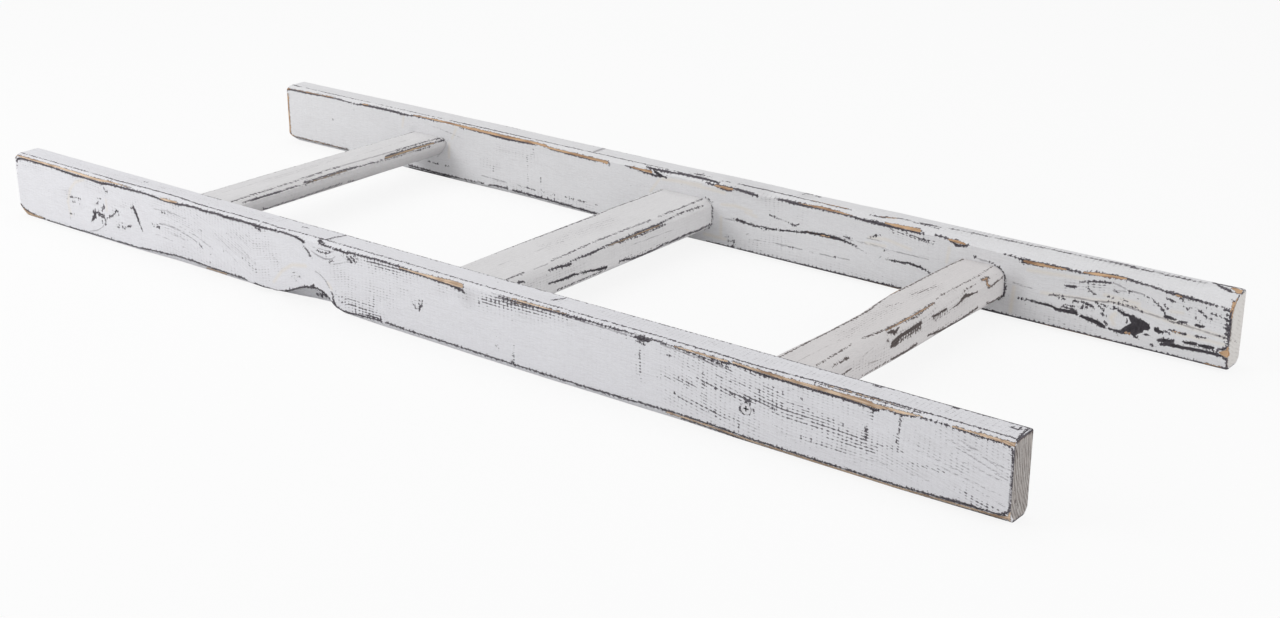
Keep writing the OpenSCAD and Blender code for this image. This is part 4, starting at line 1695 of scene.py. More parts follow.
BACK_ARRIS = (
    # Upper inner arris, from left to right
    dark((-587,62,6), (-586,65.6,8), (-578,66.2,7), (-545,66.8,9), (-520,67.5,6), (-500,67.8,6),
        (-480,67,5), (-465,66.4,4)),
    bare((-588,64,6), (-586,66.4,8), (-580,67,4)), bare((-575,67.6,2), (-540,67.8,3), (-505,68.4,3)),
    dark((-463,66.6,6), (-458,67.6,8), (-448,67.8,10), (-400,68,11), (-388,67.2,8), (-370,68,5),
        (-330,68.2,4)),
    bare((-456,68.6,5), (-446,68.8,5)),
    bare((-372,69,3), (-340,69.2,6), (-315,69,9), (-290,68.4,12), (-230,68,13), (-200,68.2,12),
        (-172,68,10), (-166,66.4,9), (-140,65.9,10), (-110,65.4,11), (-92,64.9,13), (-85,64.6,15)),
    dark((-318,69.8,3), (-300,68.6,4)),
    dark((-300,66.8,3), (-258,66.5,6), (-245,65.8,10), (-225,65.4,9), (-212,66,9), (-186,66.4,6)),
    dark((-165,64.9,4), (-130,64,5), (-100,63.5,6)), dark((-83,66.4,7), (-82.4,61.8,9)),
    dark((-60,65.8,2), (-48,64.8,4), (-30,62.9,7), (-18,62.2,10), (-5,63.2,6)),
    bare((-54,66,3), (-44,65.5,8), (-34,65.3,12), (-25,65.1,12)),
    dark((-31,69.4,6), (-22,69.2,10), (-10,69,10), (4,69.6,8)),
    crack((-20,66.4,16), (-14,64,18), (-9,62.8,8)),
    dark((-10,70,6), (12,70,6), (20,70.5,9), (35,70.8,12), (50,70.7,11), (62,69.8,7)),
    dark((34,74,3), (44,74.4,3)), dark((47,67,5), (56,66.5,6), (61,64.8,5), (71,63.8,7), (78,64.8,8)),
    dark((58,67.6,4), (80,67.4,8), (92,67,12), (105,66,14), (111,65.4,7)),
    bare((57,66.2,5), (66,66,12), (75,65.8,14), (80,66.3,7)), grain((118,64,60), (135,60,60)),
    grain((165,55,40)),
    dark((132,66.8,3), (140,67,8), (152,66.6,13), (166,66.6,13), (178,66.6,9), (190,66,5), (222,66.2,4)),
    bare((160,67.6,1), (172,67.6,3), (182,68,9), (205,67.8,8), (223,66.9,3)),
    weave((128,67,6), (150,68,8)),
    dark((222,66.2,7), (232,65.4,10), (240,65,11), (250,65.5,14), (262,65.2,15), (280,64.6,8),
        (300,64.6,8)),
    bare((260,67.2,5), (275,66.9,13), (290,67.1,16), (299,67.4,15)), dark((299.4,68.8,6), (303,64.8,7)),
    dark((317,66.2,5), (328,66,8), (334,63.8,7), (340,61.2,12), (347,62,9), (352,64,5)),
    bare((330,65.2,5), (340,64.6,14), (348,64.1,9)), dark((388,63.4,3), (402,62.4,4)),
    dark((404,62.2,7), (411,60.6,10)),
    dark((404,62,5), (430,62.2,7), (452,62.2,9), (470,62,5), (480,62.4,5)),
    bare((410,60.6,9), (425,60.7,12), (440,61,9), (453,61.6,4)), dark((408,59.2,8), (432,59.6,4)),
    bare((470,62.8,5), (482,63.8,12), (492,64.6,12), (505,65.4,10), (512,65.8,5)),
    dark((476,64.2,4), (484,65.2,7), (500,66.4,7), (512,66.3,9), (520,64.8,8), (540,63.3,6), (552,62,9),
        (560,61.8,12), (566,61.2,12), (576,60.9,11), (588,60.2,7), (606,58.8,3)),
    bare((558,61.2,6), (564,60.6,7)), dark((563,59.2,8), (566,57.6,6)), dark((512,64.8,3), (492,63.4,3)),
    # Left end and lower inner arris
    stain((-588.6,62,3), (-588.4,16,4)), bare((-587.6,14,0), (-586,9.6,6), (-580,7.8,4)),
    dark((-585.6,12,1), (-583,9,3)), *BACK_RIM.traced(bare, (-582,-484,0.2,1)),
    *BACK_RIM.traced(dark, (-582,-484,-0.2,4), (-384,-306,0.0,6)), dark((-384,4,4), (-318,3.8,6)),
    *BACK_RIM.traced(dark, (-306,-276,0.0,3)), dark((-274,8,3), (-266,6.6,5)),
    dark((-258,6,5), (-252,7.6,3)), *BACK_RIM.traced(dark, (-250,-229,0.8,6)),
    dark((-230,7.6,8), (-230,10,3)), *BACK_RIM.traced(dark, (-221,-99,0.0,7)),
    dark((-216,7,8), (-215.6,9.6,3)), dark((-208,7,8), (-208,9.4,3)), dark((-198,6,8), (-198,8.6,3)),
    dark((-187.4,6.6,8), (-187,9.4,3)), dark((-178.4,6.6,8), (-178,9.4,3)),
    dark((-170,6.4,8), (-169.6,9,3)), dark((-161,6.4,8), (-160.6,9,3)), dark((-149,6,7), (-149,7.6,2)),
    dark((-135,5,7), (-135,6.8,2)), dark((-122,5,7), (-122,6.6,2)),
    *BACK_RIM.traced(dark, (48,82,0.0,5), (88,610,0.0,6)),
    *BACK_RIM.traced(bare, (180,300,-1.2,2), (430,502,-0.6,2), (590,606,0.5,2)),
    grain((-250,12,30), (-110,9,30)), grain((95,6,30), (200,6,30)), grain((210,6,20), (280,6,20)),
)
BACK_FACE = (
    # Joint lines round the ends of the rungs, and the faint wiped glue beside them
    dark((-336,48.6,4), (-327,48,8), (-324.6,46.6,7)),
    hair((-324.8,46,8), (-328,40,7), (-334,34,7), (-345,25,6), (-356,20,5), (-372,13,3)),
    dark((44,51,0), (50,50,3), (53.6,46.6,3), (54.6,40,3), (54.6,30,2), (54.2,24,4), (49,18.8,7),
        (44,16,5)),
    hair((362,52.6,2), (376,52,5)),
    dark((374,52.2,0), (380,51,2), (386,48.6,3), (390.6,44,4), (392.8,38,5), (393.2,30,7), (391.8,22.6,9),
        (386,17,6)),
    stain((-317,44,4), (-318,28,4)), hair((-318,50,1), (-330,32,2), (-338,24,1)),
    stain((66,34,1), (66,12,3)), stain((45,11,5), (72,11,3)), stain((402,33,5), (400,8,8)),
    stain((-388,66,0), (-391,52,0)), stain((-305,65,1), (-312,52,1)), hair((-420,57,-4), (-392,58,-3)),
    stain((-14,60,0), (-26,44,1)), stain((332,57,1), (330,42,1)), hair((400,37.6,1), (412,36.6,1)),
    stain((-10,60.6,3), (20,62,4), (70,60.6,4)), stain((0,62,2), (40,63.6,2)), dark((-508,41,5)),
    hair((-344,61,0), (-318,58,2), (-296,54,1)),
    # Saw dashes and ripples
    dark((-352,17.4,1), (-348,17.2,3)), dark((-344,16.8,3), (-336,16.8,3)),
    dark((-325,17.4,2), (-318,17,2)), hair((-268,15.8,4), (-230,14.8,4)),
    dark((-214,14.4,1), (-208,14,1)), dark((-202,14.6,3), (-196,14,3)), dark((-192,14.2,2), (-188,14,2)),
    dark((-180,14.4,2), (-176,14,2)), dark((-162,14.4,1), (-158,14,1)),
    dark((-144,14.4,1), (-139,14.4,1)), dark((-136,14.4,2), (-130,14.2,1)),
    dark((-126,14.2,2), (-115,14.2,2)), dark((-101,14.2,2), (-98,14.2,1)),
    hair((134,19.4,4), (166,19.6,5)), hair((172,19.2,4), (180,19.2,5)), hair((187,19.6,5), (206,20,6)),
    hair((208,20.2,4), (222,20.8,5)), dark((148,19.4,0), (156,19.4,1)), dark((203,20,1), (208,20.2,1)),
    hair((141,20,5), (141.4,15,6)), grain((-262,32,30), (-246,30,40)), grain((-240,50,30), (-190,52,40)),
    weave((-190.6,60,6), (-190.8,52,3)), weave((-179.8,31,7), (-179.6,22,6)),
    weave((-199,50,2), (-198.6,22,5)), weave((-250,28,6), (-250,24,5)), dark((-190.6,60,2)),
    dark((-179.8,29.6,3)), dark((-179.8,25.4,4)),
    # Long crack
    hair((66,32.4,3), (80,33.6,7)),
    crack((80,34,5), (88,34.6,9), (98,33.4,10), (110,32.8,7), (130,33.6,7), (150,36,6), (165,37.6,8),
        (172,39.2,9), (190,40,15), (205,40,13), (218,39,9), (226,37.2,6), (230,36,2)),
    bare((172,39.6,1), (180,40.2,3), (192,39.6,4), (204,40.2,3)), dark((112,31.6,2), (122,31.4,5)),
    crack((86,36,3), (96,34.8,3)), hair((228,36,5), (242,31.6,3)), dark((248,31,1), (248.6,29,2)),
    dark((256,30,2)), dark((258,31.6,1)),
    crack((264,30.4,4), (278,31.2,6), (290,32,10), (302,30.6,9), (312,27.6,5)),
    dark((126,48.2,2), (136,46.4,2)), hair((134,46.6,4), (148,45.6,4)),
    dark((147,45.6,1), (152,43.6,5), (158,43.2,4), (163,46.2,1)),
    dark((213,43.2,1), (218,43.8,3), (224,43,2)), crack((245,49,0), (249,51.6,8), (257,53.4,1)),
    hair((240,47.6,3), (258,48,4)), dark((260,38.4,3), (265,40.4,1)), hair((98,21.4,4), (101,23.6,4)),
    hair((200,41.6,3), (250,41.6,5), (310,40,3)), hair((108,18,2), (116,18.4,3)),
    dark((75,15,1), (75,8,1)), dark((83,13,1), (83.4,4,4)), dark((76,10,1), (83,11,1)),
    hair((70,13,4), (76,14.4,4)), dark((84,8,2), (80,5,3)), grain((80,9,30)),
    grain((105,14,40), (140,22,50)), dust((76,70,1), (120,70,1)),
    # Resin
    stain((66,47.4,1), (84,49.4,4), (104,47.4,1)), stain((96,45,0), (110,43,0)),
    stain((244,48.6,1), (262,51,2), (290,46.4,1)), stain((240,42.4,0), (262,43.6,1)),
    stain((415,53,5), (430,54,6), (470,56.6,2)), stain((492,46,4), (525,45,4)),
    stain((496,41.8,5), (526,41.4,5)),
    stain((430,34,1), (470,37.4,1), (500,41,3), (522,41,3), (540,37.4,3), (610,32,2)),
    stain((550,36,4), (575,34.4,4), (600,33.2,2)), stain((560,26,3), (606,26,2)),
    stain((555,45,1), (566,46,1)), hair((400,37,2), (420,36,3)),
    hair((438,34.2,6), (470,37.2,6), (484,38,6), (500,40.8,7), (535,38,6), (560,35.8,6), (612,32,7)),
    dark((496,40.4,0), (508,41.2,2), (522,40.8,2), (530,38.8,0)), dark((600,33,0), (612,32,2)),
    dark((493,44.8,0), (500,45.4,2)), dark((508,45,0), (514,44.8,1)), dark((532,38.4,3)),
    # Specks under the arris
    grain((272,61,30), (306,59,40)), dark((268,62.4,4), (270,58,1)),
    weave((272,61,6), (290,60,10), (314,58.4,12)), dark((284,61,1), (288,60,3)),
    dark((291,60.4,1), (295,58.8,3)), dark((298,59,1), (302,58,5)), dark((304,59.6,3), (308,57.6,6)),
    dark((310,59.4,3), (314,56.8,3)),
    # By the right rung: a dark speck, and a painted shadow to the right of the rung's end
    dark((359,53.4,12)), dust((402,40,30), (400,20,40)), dust((398,14,40)),
    # Band of lost paint to the left of the great knot
    dark((407,23.2,6), (414,23.4,5)), dark((416,23.6,6), (424,23.6,8)),
    crack((425,23.4,8), (436,23.4,11), (441,23.4,9), (446,21.6,12), (456,21.8,16), (462,22.8,18),
        (465.6,22.2,17)),
    crack((470,20.4,11), (478,19.4,17), (486,18.4,19), (491,16.8,15), (495,15.6,6)),
    dark((452,25.6,5), (464,25,7)), crack((499,15,9), (506,14.4,10), (514,14.6,11)),
    dark((494,20.4,8), (497,18.6,6)), dark((487,16,8), (495,15,9)), dark((463,33.4,9), (466,33.6,8)),
    dark((470,34.4,6), (476,33.4,9), (482,32,8), (484,30,5)), dark((472,31.6,4), (476,30.8,4)),
    dark((448,32.4,5), (454,33,5)), dark((455,27.4,5), (463,27.8,5)), dark((468,28.4,5), (474,28.4,5)),
    dark((490,28.4,5), (496,25.6,5)), crack((484,37.4,7), (487,34.4,9), (492.6,30.8,7)),
    dark((488,36.6,4), (496,36,4)), dark((499,34,4), (503,33,4)), grain((470,30,50), (482,26,50)),
    grain((455,47,40), (480,50,50), (505,55,40)), grain((440,10,50), (480,9,50)), grain((420,14,40)),
    dark((452,46,5), (459,46.4,13), (464,47.6,8)), dark((474,49,4), (484,44,4)),
    dark((438,34,3), (452,35.6,3)),
    # The great torn patch beside the knot
    crack((502,36.6,6), (507,34.6,12), (513,31.8,13), (519,32,8)), dark((504,36.6,6), (512,34.4,4)),
    crack((520,29.4,26), (527,26.6,44), (533,25,32), (537.4,24.8,22)), crack((521,31,16)),
    crack((530,28.6,20), (536,26.4,16)), crack((524,23,46), (519,19.4,40), (513,17.4,18)),
    crack((529,21,26), (522,16.4,26)), crack((522,15,14), (527,12.2,5)), crack((533,18,5), (538,18,4)),
    bare((513.6,15,5), (520,15.2,8)), paint((509,27,14), (512,22.6,7)), paint((539.4,28,6), (539,21,6)),
    crack((541,25,17), (546,23.8,18), (550,24,8)), dark((545,26.6,6), (549,22.4,4)),
    dark((551,25.4,5), (556,24.2,5)), dark((512,31,3), (516,26,3)), dark((514,24.4,4), (517,27,4)),
    # Arc over the knot and its foot
    dark((468,53.2,3), (474,54.6,4), (482,56.4,7), (492,58,7), (499,58.6,3)),
    weave((475,51.6,4), (484,53.4,8), (491,54.6,5)), hair((499,59,5), (506,58,6), (512,56,5)),
    dark((513,55.8,5), (517,54.6,8)), hair((500,52.4,3), (512,53.6,4)), dark((501,51.4,2), (504,51.6,1)),
    hair((517,55.4,6), (530,54.6,7)),
    dark((529,54.4,0), (538,51.4,3), (545,47,5), (548,44.4,10), (550.6,41,6)),
    weave((516,52,2), (540,46,3)), crack((550,39.6,9), (555,38.6,13), (561,37.6,8)),
    dark((563,37.6,7), (570,37.6,9)), dark((554,36.2,5), (566,35.6,4)),
    crack((579,38.4,7), (582.6,37.2,12), (586,38,7)), dark((578.6,44,3.5), (582,40.6,4.5)),
    dark((549,50,3), (552,46,3)), dark((556,28,8), (560,27.6,6)), dark((563,26.8,5), (571,27,9)),
    dark((579,27.4,6), (589,27.8,6)), bare((558,27,4), (566,27.2,3)),
    crack((570,19.2,10), (575,19.8,12), (581,19.8,11)),
    crack((584.6,19.8,11), (590,20,16), (597,20.4,13)), dark((596,18.6,6), (600,18,4)),
    crack((546.6,15.2,9), (552,16.6,18), (560,17.4,9)),
    crack((548.6,12,8), (554,13.6,17), (568,14,14), (582,15,14), (594,15.4,12), (605,15,10)),
    dark((551,18,6), (561,18.6,4)), bare((603,17.8,7), (606,17.6,20), (609,18,34)),
    dark((601,20,7), (606,21.6,9), (609,24,9)), dark((602,15.8,6), (606,14.6,6), (609,12.4,10)),
    dark((551,56,7), (558,55,7)), dark((568,52,8)), dark((570,50.4,6)), dark((573,52,5)),
    dark((580,51.6,7), (584,50.6,5)), dark((586,48.6,6), (590,47,5), (593,45.4,4)),
    dark((592,52,5), (597,50.6,6)), dark((587,55.4,6)), dark((600,51,6)), grain((560,53,30), (600,49,50)),
    grain((560,44,30)), dark((539,9.6,4), (544,8.8,4)), dark((508,11,4)), dark((530,38.4,5)),
    stain((503,20,5), (500,26,12), (504,31,6)), paint((502,27,45)),
    # Ragged right edge
    dark((611,68,6), (610,62,9), (609.4,58,12), (609.6,48,12), (609.6,40,18), (609.6,32,12), (610,26,6),
        (610.4,12,8), (610.6,4,10)),
    dark((602,58.4,5), (608,57.2,8)), dark((605,54,4), (609,53,7)), dark((604,49.6,6), (608,48.6,10)),
    dark((605,45,5), (609,44,12)), dark((604.6,41.4,6), (609,40,14)), dark((605.6,36.4,7), (609,35,12)),
    dark((606,28,4), (609,27,6)), bare((610.4,66,8), (609.8,61,8), (608.6,57,3)),
    bare((609.6,24,3), (608,17,8)),
)

BACK_RAIL_MARKS = {
    Side.LOW: BACK_ARRIS + BACK_FACE,
    Side.TOP: (
        dark((-590,8.6,5), (-580,7.6,8), (-570,7.4,6)),
        dark((-560,7.6,2), (-530,6.8,5), (-500,6.6,3), (-450,6.8,2)), dark((-440,6.8,1), (-330,6.4,2)),
        dark((-322,6.4,4), (-300,6.2,7), (-230,6,7), (-200,6,5)),
        dark((-200,6.2,3), (-120,6.4,3), (-60,6.4,4), (-20,6,4)), dark((-20,6,3), (24,5,4)),
        dark((24,11.6,8), (34,10.8,5), (46,11,4)), dark((62,7.6,4), (70,9,5)),
        dark((80,9.6,5), (90,9.4,9), (110,9.6,9), (150,8.6,6), (170,7.8,6), (216,6.6,8)),
        bare((170,8.8,3), (190,8.2,5), (214,7.8,5)), dark((242,5.4,8), (250,5.2,10), (257,5.6,9)),
        bare((252,7,5), (262,9.4,9), (266,12,7)),
        dark((256,10.6,4), (263,10,5), (269,13,10), (280,14.4,6)),
        dark((292,14,6), (300,14,11), (309,14,9)), dark((286,11,5), (300,10.6,6), (316,9,4)),
        dark((322,16,3), (334,17,4)), dark((344,18,5), (358,18,6), (362,17,11)),
        dark((372,18,4), (388,19,8), (398,19,4)), dark((404,18.6,4), (420,20,3)),
        dark((428,20,5), (446,20,5)), dark((462,20,3), (476,21,4)),
        dark((484,23.4,7), (500,23.4,6), (509,22.6,10)), dark((506,20,10), (512,19,8)),
        dark((516,20,6), (526,20,6)), dark((532,23,4)), dark((538,19,5), (546,20,5)),
        dark((548,20.6,8), (560,20.4,9)), dark((566,20,4)), grain((300,12,30), (420,20,50)),
        grain((440,20,40), (570,20,50)), weave((330,17,8), (400,19.6,16)),
        weave((400,19.6,14), (500,21.6,20), (575,22,16)), weave((270,13,6), (312,13,16)),
        grain((-110,24,10), (-110,10,10)), hair((-110,25,20), (-110,10,18)),
        hair((-106.6,26,4), (-106.4,10,4)), dust((157,24,20), (158,17,10)), dark((152,27,6), (153,19,5)),
        dark((153,25.6,9), (160,25,5)), dark((166,24,5), (172,23,5)), dark((-252,27,5)),
        dark((-236,27,4)), dark((579,27.4,6), (584,25.6,9), (590,21,16), (596,18,26), (603,14,16)),
        dark((586,26,6), (598,27,10), (603,29,8)), bare((601,24,22), (606,21,34), (608,16,22)),
        dark((604,29,5), (610,24,2), (612,14,6)), dark((-250,28.4,2), (-60,26,2)),
        dark((60,28.8,2), (130,28.4,3)), grain((320,26,40), (560,26,40)),
    ),
    Side.END: (
        dark((2,52,8), (3,58,10), (6,64,10), (12,68.4,8)), bare((1,52,8), (3,60,10), (9,67,10)),
        dark((0.6,32,6), (0.8,6,8)), bare((0.4,24,8), (0.4,15,8)),
        dark((1,31.4,4), (8,28.6,3.5), (13,26.4,4), (19,23.4,2.5)), dark((5,1.2,5), (25,1.2,4)),
    ),
    Side.START: (bare((0.3,60,2), (0.3,12,3), (6,2,10)),),
    Side.HIGH: (
        bare((-560,66.4,7), (-410,66.8,9)), dark((-585,65.4,8), (-180,65.6,8)),
        dark((-150,66,7), (300,66.2,8)), bare((320,66.6,8), (560,66.4,10)), dark((310,65,8), (600,65,8)),
        dark((-580,5.4,9), (100,6.2,10)), dark((130,6,8), (600,5.6,10)),
        grain((-380,46,140), (-240,30,120)), grain((60,24,140), (330,40,160)),
    ),
}

LEFT_RUNG_MARKS = {
    Side.TOP: (
        dark((-172,6.2,1), (-130,7.2,2), (0,9.8,2), (130,12.8,2), (172,14,3)),
        grain((-60,26,60), (40,24,60)), hair((-120,22,1), (-40,24,2)), hair((60,34,1), (140,33,2)),
    ),
    Side.HIGH: (
        dark((-143,54,1), (-110,54.5,1), (-85,54.3,1), (-50,55,1), (-10,56,1), (10,55.6,0)),
        hair((10,55.6,4), (95,54,4)), dark((95,54,1), (130,53.6,1), (158,53,1)),
        dark((160,52.5,5), (165,52.5,5)), dark((-128,49,1), (-115,49,2)), dark((-115,49,8), (-75,48.6,8)),
        dark((-75,48.8,4), (-50,48.8,3)), dark((-43,50.2,6), (18,50.2,6), (35,49.2,4)),
        dark((-50,47.6,1), (20,47.6,1)), bare((-40,48.8,3), (18,48.8,3)), dark((20,48.5,1), (60,48.5,1)),
        dark((55,47.8,3), (75,47.8,3)), dark((78,51,6), (95,51,6), (150,50.4,2)),
        bare((78,49.2,8), (110,49.2,8), (155,49,5)), dark((78,47.2,4), (125,47.2,4)),
        dark((125,46.6,3), (150,46.6,3)), dark((155,48.7,5), (172,48.7,6)),
        dark((-102,38,2), (-101,35,3)), dark((-101,35,1), (-60,35,1), (0,36,2), (10,36,2)),
        dark((20,35.5,2), (30,34.5,1)), hair((30,34.5,3), (100,33,2)), grain((-60,42,50)),
        # Grey over the whole side: dust, and painted shade where the side faces away from the light
        dust((-172,36,120), (172,36,120)),
    ),
}

MIDDLE_RUNG_MARKS = {
    Side.TOP: (
        dark((-172,2.2,2), (-135,3,2), (-90,4,3), (0,6,3), (60,7,3), (90,5,3), (130,7,3), (172,7,3)),
        grain((-40,30,80), (60,28,80)), hair((-110,30,1), (-20,33,2)),
    ),
    Side.HIGH: (
        dark((-143,53.8,2), (-120,54,3)), hair((-105,53,4), (-85,53,4)),
        dark((-80,54.5,1), (-30,55.6,1), (0,56,1), (72,55,1)),
        dark((84,55.2,1), (105,55.6,1), (110,54.8,1), (158,55.2,1)),
        dark((-128,46.5,5), (-122,45.6,8), (-118,44,5)),
        dark((-84,45.8,6), (-70,45.4,10), (-60,44,12), (-52,43.4,9)), dark((-56,46,1), (-40,46,1)),
        dark((-40,46,4), (-30,45.8,9), (-15,45.6,9), (0,47,4), (20,47.4,4), (50,47.6,8), (85,47,8),
            (100,48,4), (108,48.8,3), (125,49.6,3), (135,48.8,3), (160,47.6,3)),
        bare((4,46,1), (40,46,5), (86,45.6,5)), dark((22,44.6,1), (60,44,2), (95,44.2,1)),
        weave((22,44,6), (60,43,14), (95,43.4,10)),
        crack((-84,33,3), (-75,32,7), (-60,31,8), (-48,31.4,9), (-40,30,5)),
        crack((-38,30,4), (-25,28.6,7), (-15,27,9), (-5,25.6,12), (2,25,10)), dark((-72,23,1), (0,23,1)),
        dark((22,25,5), (30,25,9), (38,23.6,9)),
        dark((38,23,7), (60,22,7), (80,22.4,6), (95,24,6), (110,23,6), (130,24,7), (150,23,6), (172,24,6)),
        weave((30,26.6,4), (60,24.6,8), (95,26,6)), grain((-120,38,50), (-40,38,40)),
        hair((40,37,1), (110,35,2)),
    ),
}

RIGHT_RUNG_MARKS = {
    Side.TOP: (
        dark((-172,7,3), (-100,7.4,4), (-60,8.5,4), (-20,9,5), (5,8,4), (20,5,4), (40,3,3)),
        bare((35,2.4,4), (62,2.6,4)), dark((60,3.6,3), (80,4,4), (110,4.2,4), (150,5,4), (172,7,4)),
        grain((-60,22,80), (20,20,80)), weave((60,18,14), (90,24,10)), weave((20,16,9), (40,22,9)),
        grain((60,20,80), (90,24,80)), hair((-140,24,1), (-60,26,2)),
    ),
    Side.HIGH: (
        # Upper arris
        dark((-148,57,1), (-110,57.6,2), (-95,58.6,1)),
        dark((-78,58.5,2), (-62,57,3), (-50,55.6,4), (-35,54.6,5), (-20,54.2,5), (-5,54.4,4)),
        bare((-40,54,4), (0,53.4,5), (30,53.8,5), (42,54.4,3)),
        dark((-12,53,2), (0,51.8,3), (8,50.8,6), (15,50.8,6), (25,52.6,4), (42,54,3)),
        dark((0,55,1), (40,55.6,1)),
        dark((45,56.5,1), (52,58.6,2), (60,58.4,2), (100,57.6,1), (120,57,1), (140,58.4,2), (150,59.6,4),
            (155,59.4,5)),
        # Wedge, patches and wave of lost paint
        dark((-122,48.4,2), (-110,48,5), (-101,48.6,10), (-98,47,6)), dark((-106,35.6,4), (-92,36,3)),
        crack((-36,50.6,7), (-28,49.4,16), (-24,47,17), (-17,49.6,8)), dark((-37,44,3), (-33,42,4)),
        crack((-27,38.6,16), (-18,40.6,18), (0,41,19), (20,42,18)),
        crack((-28,36,14), (-20,36.6,18), (-16,38,12)), dark((-22,34,5), (-12,35,3)),
        dark((-12.4,39,7), (-12.8,34.8,5)), dark((-8.4,39,6), (-8.8,35.4,5)),
        dark((-4.4,39,7), (-4.6,34.8,4)), dark((-0.4,39.4,6), (-0.8,35.6,5)),
        dark((3.6,39.4,8), (3.4,35,5)), dark((7.8,40,6), (7.6,36,5)), dark((12,40,8), (11.8,35.6,6)),
        dark((16,40,7), (16,36,7)), dark((20,40,8), (20.6,36.6,5)), dark((-12,36.6,2), (20,38,3)),
        crack((39,42.8,3), (45,41.6,11), (55,42,8), (66,41.8,9)), dark((43,41,6), (42.6,37.6,4)),
        dark((47,41,7), (46.6,37,4)), dark((51,41,5), (50.8,38,4)), dark((55,41,7), (54.8,37.4,4)),
        dark((59,41,5), (58.8,38,4)), dark((63,41,6), (62.8,37.8,4)), dark((67,41,4), (66.8,38,3)),
        weave((68,38,4), (80,38.4,4)),
        crack((76,39,1), (88,40.6,5), (93,43,14), (98,44.4,18), (106,43,12), (115,42,7), (122,41.4,3)),
        dark((93,50,3), (118,50,3)),
        bare((128,50.6,2), (136,50,8), (140,49.4,11), (139,46,9), (141,43,8), (146,40,5)),
        dark((126,51.6,3), (138,51.4,6), (143,49,5), (142,46,4)),
        dark((143,39,6), (150,39.4,6), (160,41,5), (170,42,6)),
        # Lower arris
        dark((-75,23.6,1), (-30,23.6,1)), dark((-28,23.5,7), (0,23,9), (16,24.4,9)),
        dark((34,26,5), (45,25,8), (60,23.4,8), (90,23.2,7), (105,24,7), (125,25.4,6)),
        weave((40,26.6,8), (70,25.6,10), (110,26,8)), dark((142,24,5), (155,22.6,6), (172,23.4,6)),
        hair((-66,32,2), (-50,30,3)), hair((-74,42,2), (-58,44,3)),
        grain((-30,43,60), (60,43,70), (100,41,60)), grain((-90,34,60), (-40,30,60)),
    ),
}


def front_rail(zero: float) -> Rail:
    """Sets up the front rail.

    Args:
        zero: the place that the rails' marks are counted from.

    Returns:
        The rail, not yet built.
    """
    return Rail(
        node="front_rail", seed=3, zero=zero, outer=Side.LOW, screws=("right_front_screw",),
        arrises=(
            Arris(FRONT_FOOT, FRONT_RIM, FRONT_SCOOP, 14),
            Arris(FRONT_TOP_RIDGE, level(3.4), level(0.3), 7),
            Arris(level(1.6), level(1.6), level(0.6), 4),
            Arris(level(5.5), level(5.5), level(0.4), 6),
        ),
        strips=(54, 15, 20, 8), end_rounds=((1.4, 8.0, 4.0), (1.2, 2.4, 1.4)), marks=FRONT_RAIL_MARKS,
        knots=(Knot(-480, 35, 44, 24, 0.7), Knot(-148, 8, 46, 26, 0.6)),
        grain_lift=Course((
            (-400,0), (-345,-1), (-310,-7), (-280,-16), (-220,-40), (-160,-30), (-122,-42), (-90,-30),
            (-40,-28), (280,-28), (340,-40), (400,-48), (490,-50), (600,-76),
        )),
        finishes=(
            WornPaint(
                "painted_front_rail", white=shade(231, 231, 235), pine=shade(224, 199, 173),
                pine_dark=shade(158, 130, 106),
            ).material(),
            EndGrain("front_rail_left_end", pith_y=-250).material(),
            EndGrain(
                "front_rail_right_end", pith_y=-75, pith_z=72, light=shade(184, 178, 174),
                deep=shade(92, 84, 82), paint=shade(186, 182, 179), cover=0.35, ring_pitch=3.2,
            ).material(),
        ),
    )


def back_rail(zero: float) -> Rail:
    """Sets up the back rail.

    Args:
        zero: the place that the rails' marks are counted from.

    Returns:
        The rail, not yet built.
    """
    ridge_drop = Course(tuple((place, RAIL_HEIGHT - height) for place, height in BACK_RIDGE.stops))
    far_edge = Course((
        (-600,2.6), (-500,2.6), (-420,1.4), (-260,1.4), (-160,3), (-20,4.4), (60,1.8), (110,1.4),
        (160,3.6), (220,3.6), (260,1.6), (350,3), (420,2.8), (500,1.8), (612,1.0),
    ))
    return Rail(
        node="back_rail", seed=7, zero=zero, outer=Side.HIGH,
        screws=("middle_back_screw", "right_back_screw"),
        arrises=(
            Arris(BACK_FOOT, BACK_RIM, level(0.25), 7),
            Arris(BACK_OVER, ridge_drop, level(0.25), 12),
            Arris(far_edge, level(2.0), level(0.5), 4),
            Arris(level(5.5), level(5.5), level(0.4), 6),
        ),
        strips=(56, 14, 20, 8), end_rounds=((1.4, 8.0, 3.0), (1.2, 2.4, 1.4)), marks=BACK_RAIL_MARKS,
        knots=(Knot(506, 28, 34, 18, 0.8), Knot(150, 42, 40, 12, 0.5)),
        grain_lift=Course((
            (-600,0), (60,0), (160,8), (220,6), (300,-4), (430,0), (500,8), (560,2), (612,-2),
        )),
        finishes=(
            WornPaint(
                "painted_back_rail", saw_pitch=5.0, rub=0.05, white=shade(230, 230, 232),
                pine=shade(204, 169, 134), pine_dark=shade(146, 112, 86),
            ).material(),
            EndGrain("back_rail_left_end", pith_y=260).material(),
            EndGrain(
                "back_rail_right_end", pith_y=240, pith_z=115, light=shade(222, 219, 216),
                deep=shade(166, 160, 156), paint=shade(218, 215, 212), cover=0.85,
            ).material(),
        ),
    )


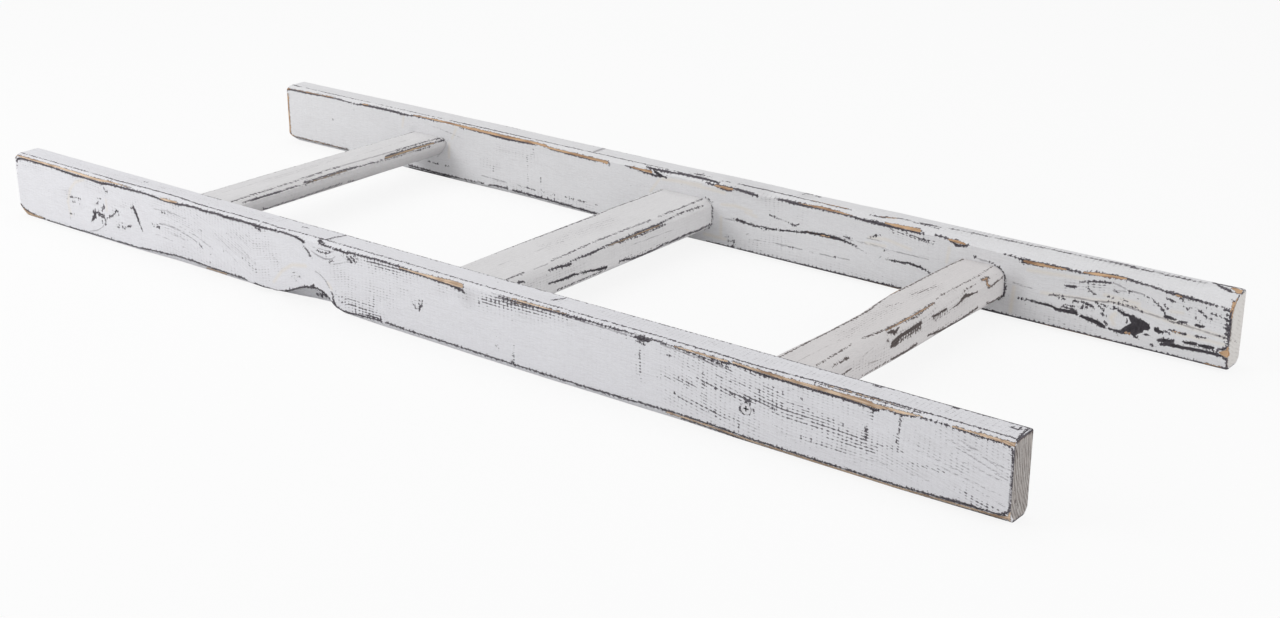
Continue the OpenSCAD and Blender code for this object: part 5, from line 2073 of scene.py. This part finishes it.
def rungs() -> tuple[Rung, ...]:
    """Sets up the three rungs.

    Returns:
        The rungs, not yet built, from left to right.
    """
    end = EndGrain(
        "rung_end", pith_y=-250, light=shade(210, 204, 196), deep=shade(150, 140, 130),
        paint=shade(226, 225, 226), cover=0.7,
    ).material()
    paint_coat = WornPaint(
        "painted_rungs", rub=0.06, rim=0.08, white=shade(226, 225, 226), pine=shade(176, 152, 124),
        pine_dark=shade(116, 98, 82),
    ).material()
    brown_coat = WornPaint(
        "painted_right_rung", rub=0.08, rim=0.08, white=shade(222, 219, 219), charcoal=shade(78, 70, 69),
        worn=shade(124, 116, 114), pine=shade(190, 158, 128),
    ).material()
    shared = {"runs_along_y": True, "step_along": 0.9}
    under_left = Arris(level(5), level(5), level(0.4), 5)
    left_upper_left = Course(((-175,6), (-130,7), (0,9.6), (130,12.6), (175,14)))
    left_upper_right = Course((
        (-175,9), (-135,10), (-100,12), (-60,13), (-20,14.5), (25,15), (35,12), (60,11.5), (100,11),
        (110,10), (130,8), (175,7),
    ))
    left = Rung(
        node="left_rung", seed=11, strips=(10, 40, 30, 14), finishes=(paint_coat, end, end), **shared,
        arrises=(
            under_left, Arris(left_upper_left, level(5.6), level(0.15), 5),
            Arris(left_upper_right, level(3), level(0.25), 9), Arris(level(11), level(13.5), level(0.3), 9),
        ),
        marks=LEFT_RUNG_MARKS,
    )
    middle_upper_right = Course((
        (-175,6.4), (-120,6.6), (-60,7.5), (20,8), (85,7.5), (95,8.4), (130,8), (175,7.4),
    ))
    middle = Rung(
        node="middle_rung", seed=13, strips=(14, 40, 44, 14), finishes=(paint_coat, end, end), **shared,
        arrises=(
            under_left, Arris(level(4.6), level(3), level(0.5), 5),
            Arris(middle_upper_right, level(6.4), level(0.35), 9),
            Arris(level(6.5), level(7), level(0.5), 6),
        ),
        marks=MIDDLE_RUNG_MARKS,
    )
    right_upper_right = Course((
        (-175,10), (-60,11), (-40,7.5), (30,6.5), (50,9), (60,11.5), (120,10), (175,13),
    ))
    right = Rung(
        node="right_rung", seed=17, strips=(14, 34, 56, 14), finishes=(brown_coat, end, end), **shared,
        low_wander=Course(((-175,1.4), (-130,2), (-60,5), (-10,5), (20,2), (50,0), (80,0.2), (175,2.4))),
        high_wander=Course(((-175,1.5), (-60,1.0), (-20,0), (30,0.5), (80,1.5), (175,0.5))),
        arrises=(
            under_left, Arris(level(2.2), level(2.4), level(0.6), 4),
            Arris(right_upper_right, level(9.5), level(0.75), 12),
            Arris(level(7.5), level(7), level(0.5), 6),
        ),
        marks=RIGHT_RUNG_MARKS,
    )
    return left, middle, right


def write_sizes(packed: tuple[Vector, Vector]) -> None:
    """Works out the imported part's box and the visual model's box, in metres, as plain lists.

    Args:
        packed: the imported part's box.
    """
    boxes = {"cad": packed, "visual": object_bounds()}
    plain = {name: [list(corner) for corner in box] for name, box in boxes.items()}


def main() -> None:
    """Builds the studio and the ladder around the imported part."""
    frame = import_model()
    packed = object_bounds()
    logging.basicConfig(level=logging.INFO, format="%(message)s")
    Studio().build()
    low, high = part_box("front_rail")
    zero = (low.x + high.x) / 2 / MM
    for plank in (front_rail(zero), back_rail(zero), *rungs()):
        plank.finish()
    for row in Row:
        ScrewRow(row).dress(frame["nodes"])
    write_sizes(packed)


if __name__ == "__main__":
    main()
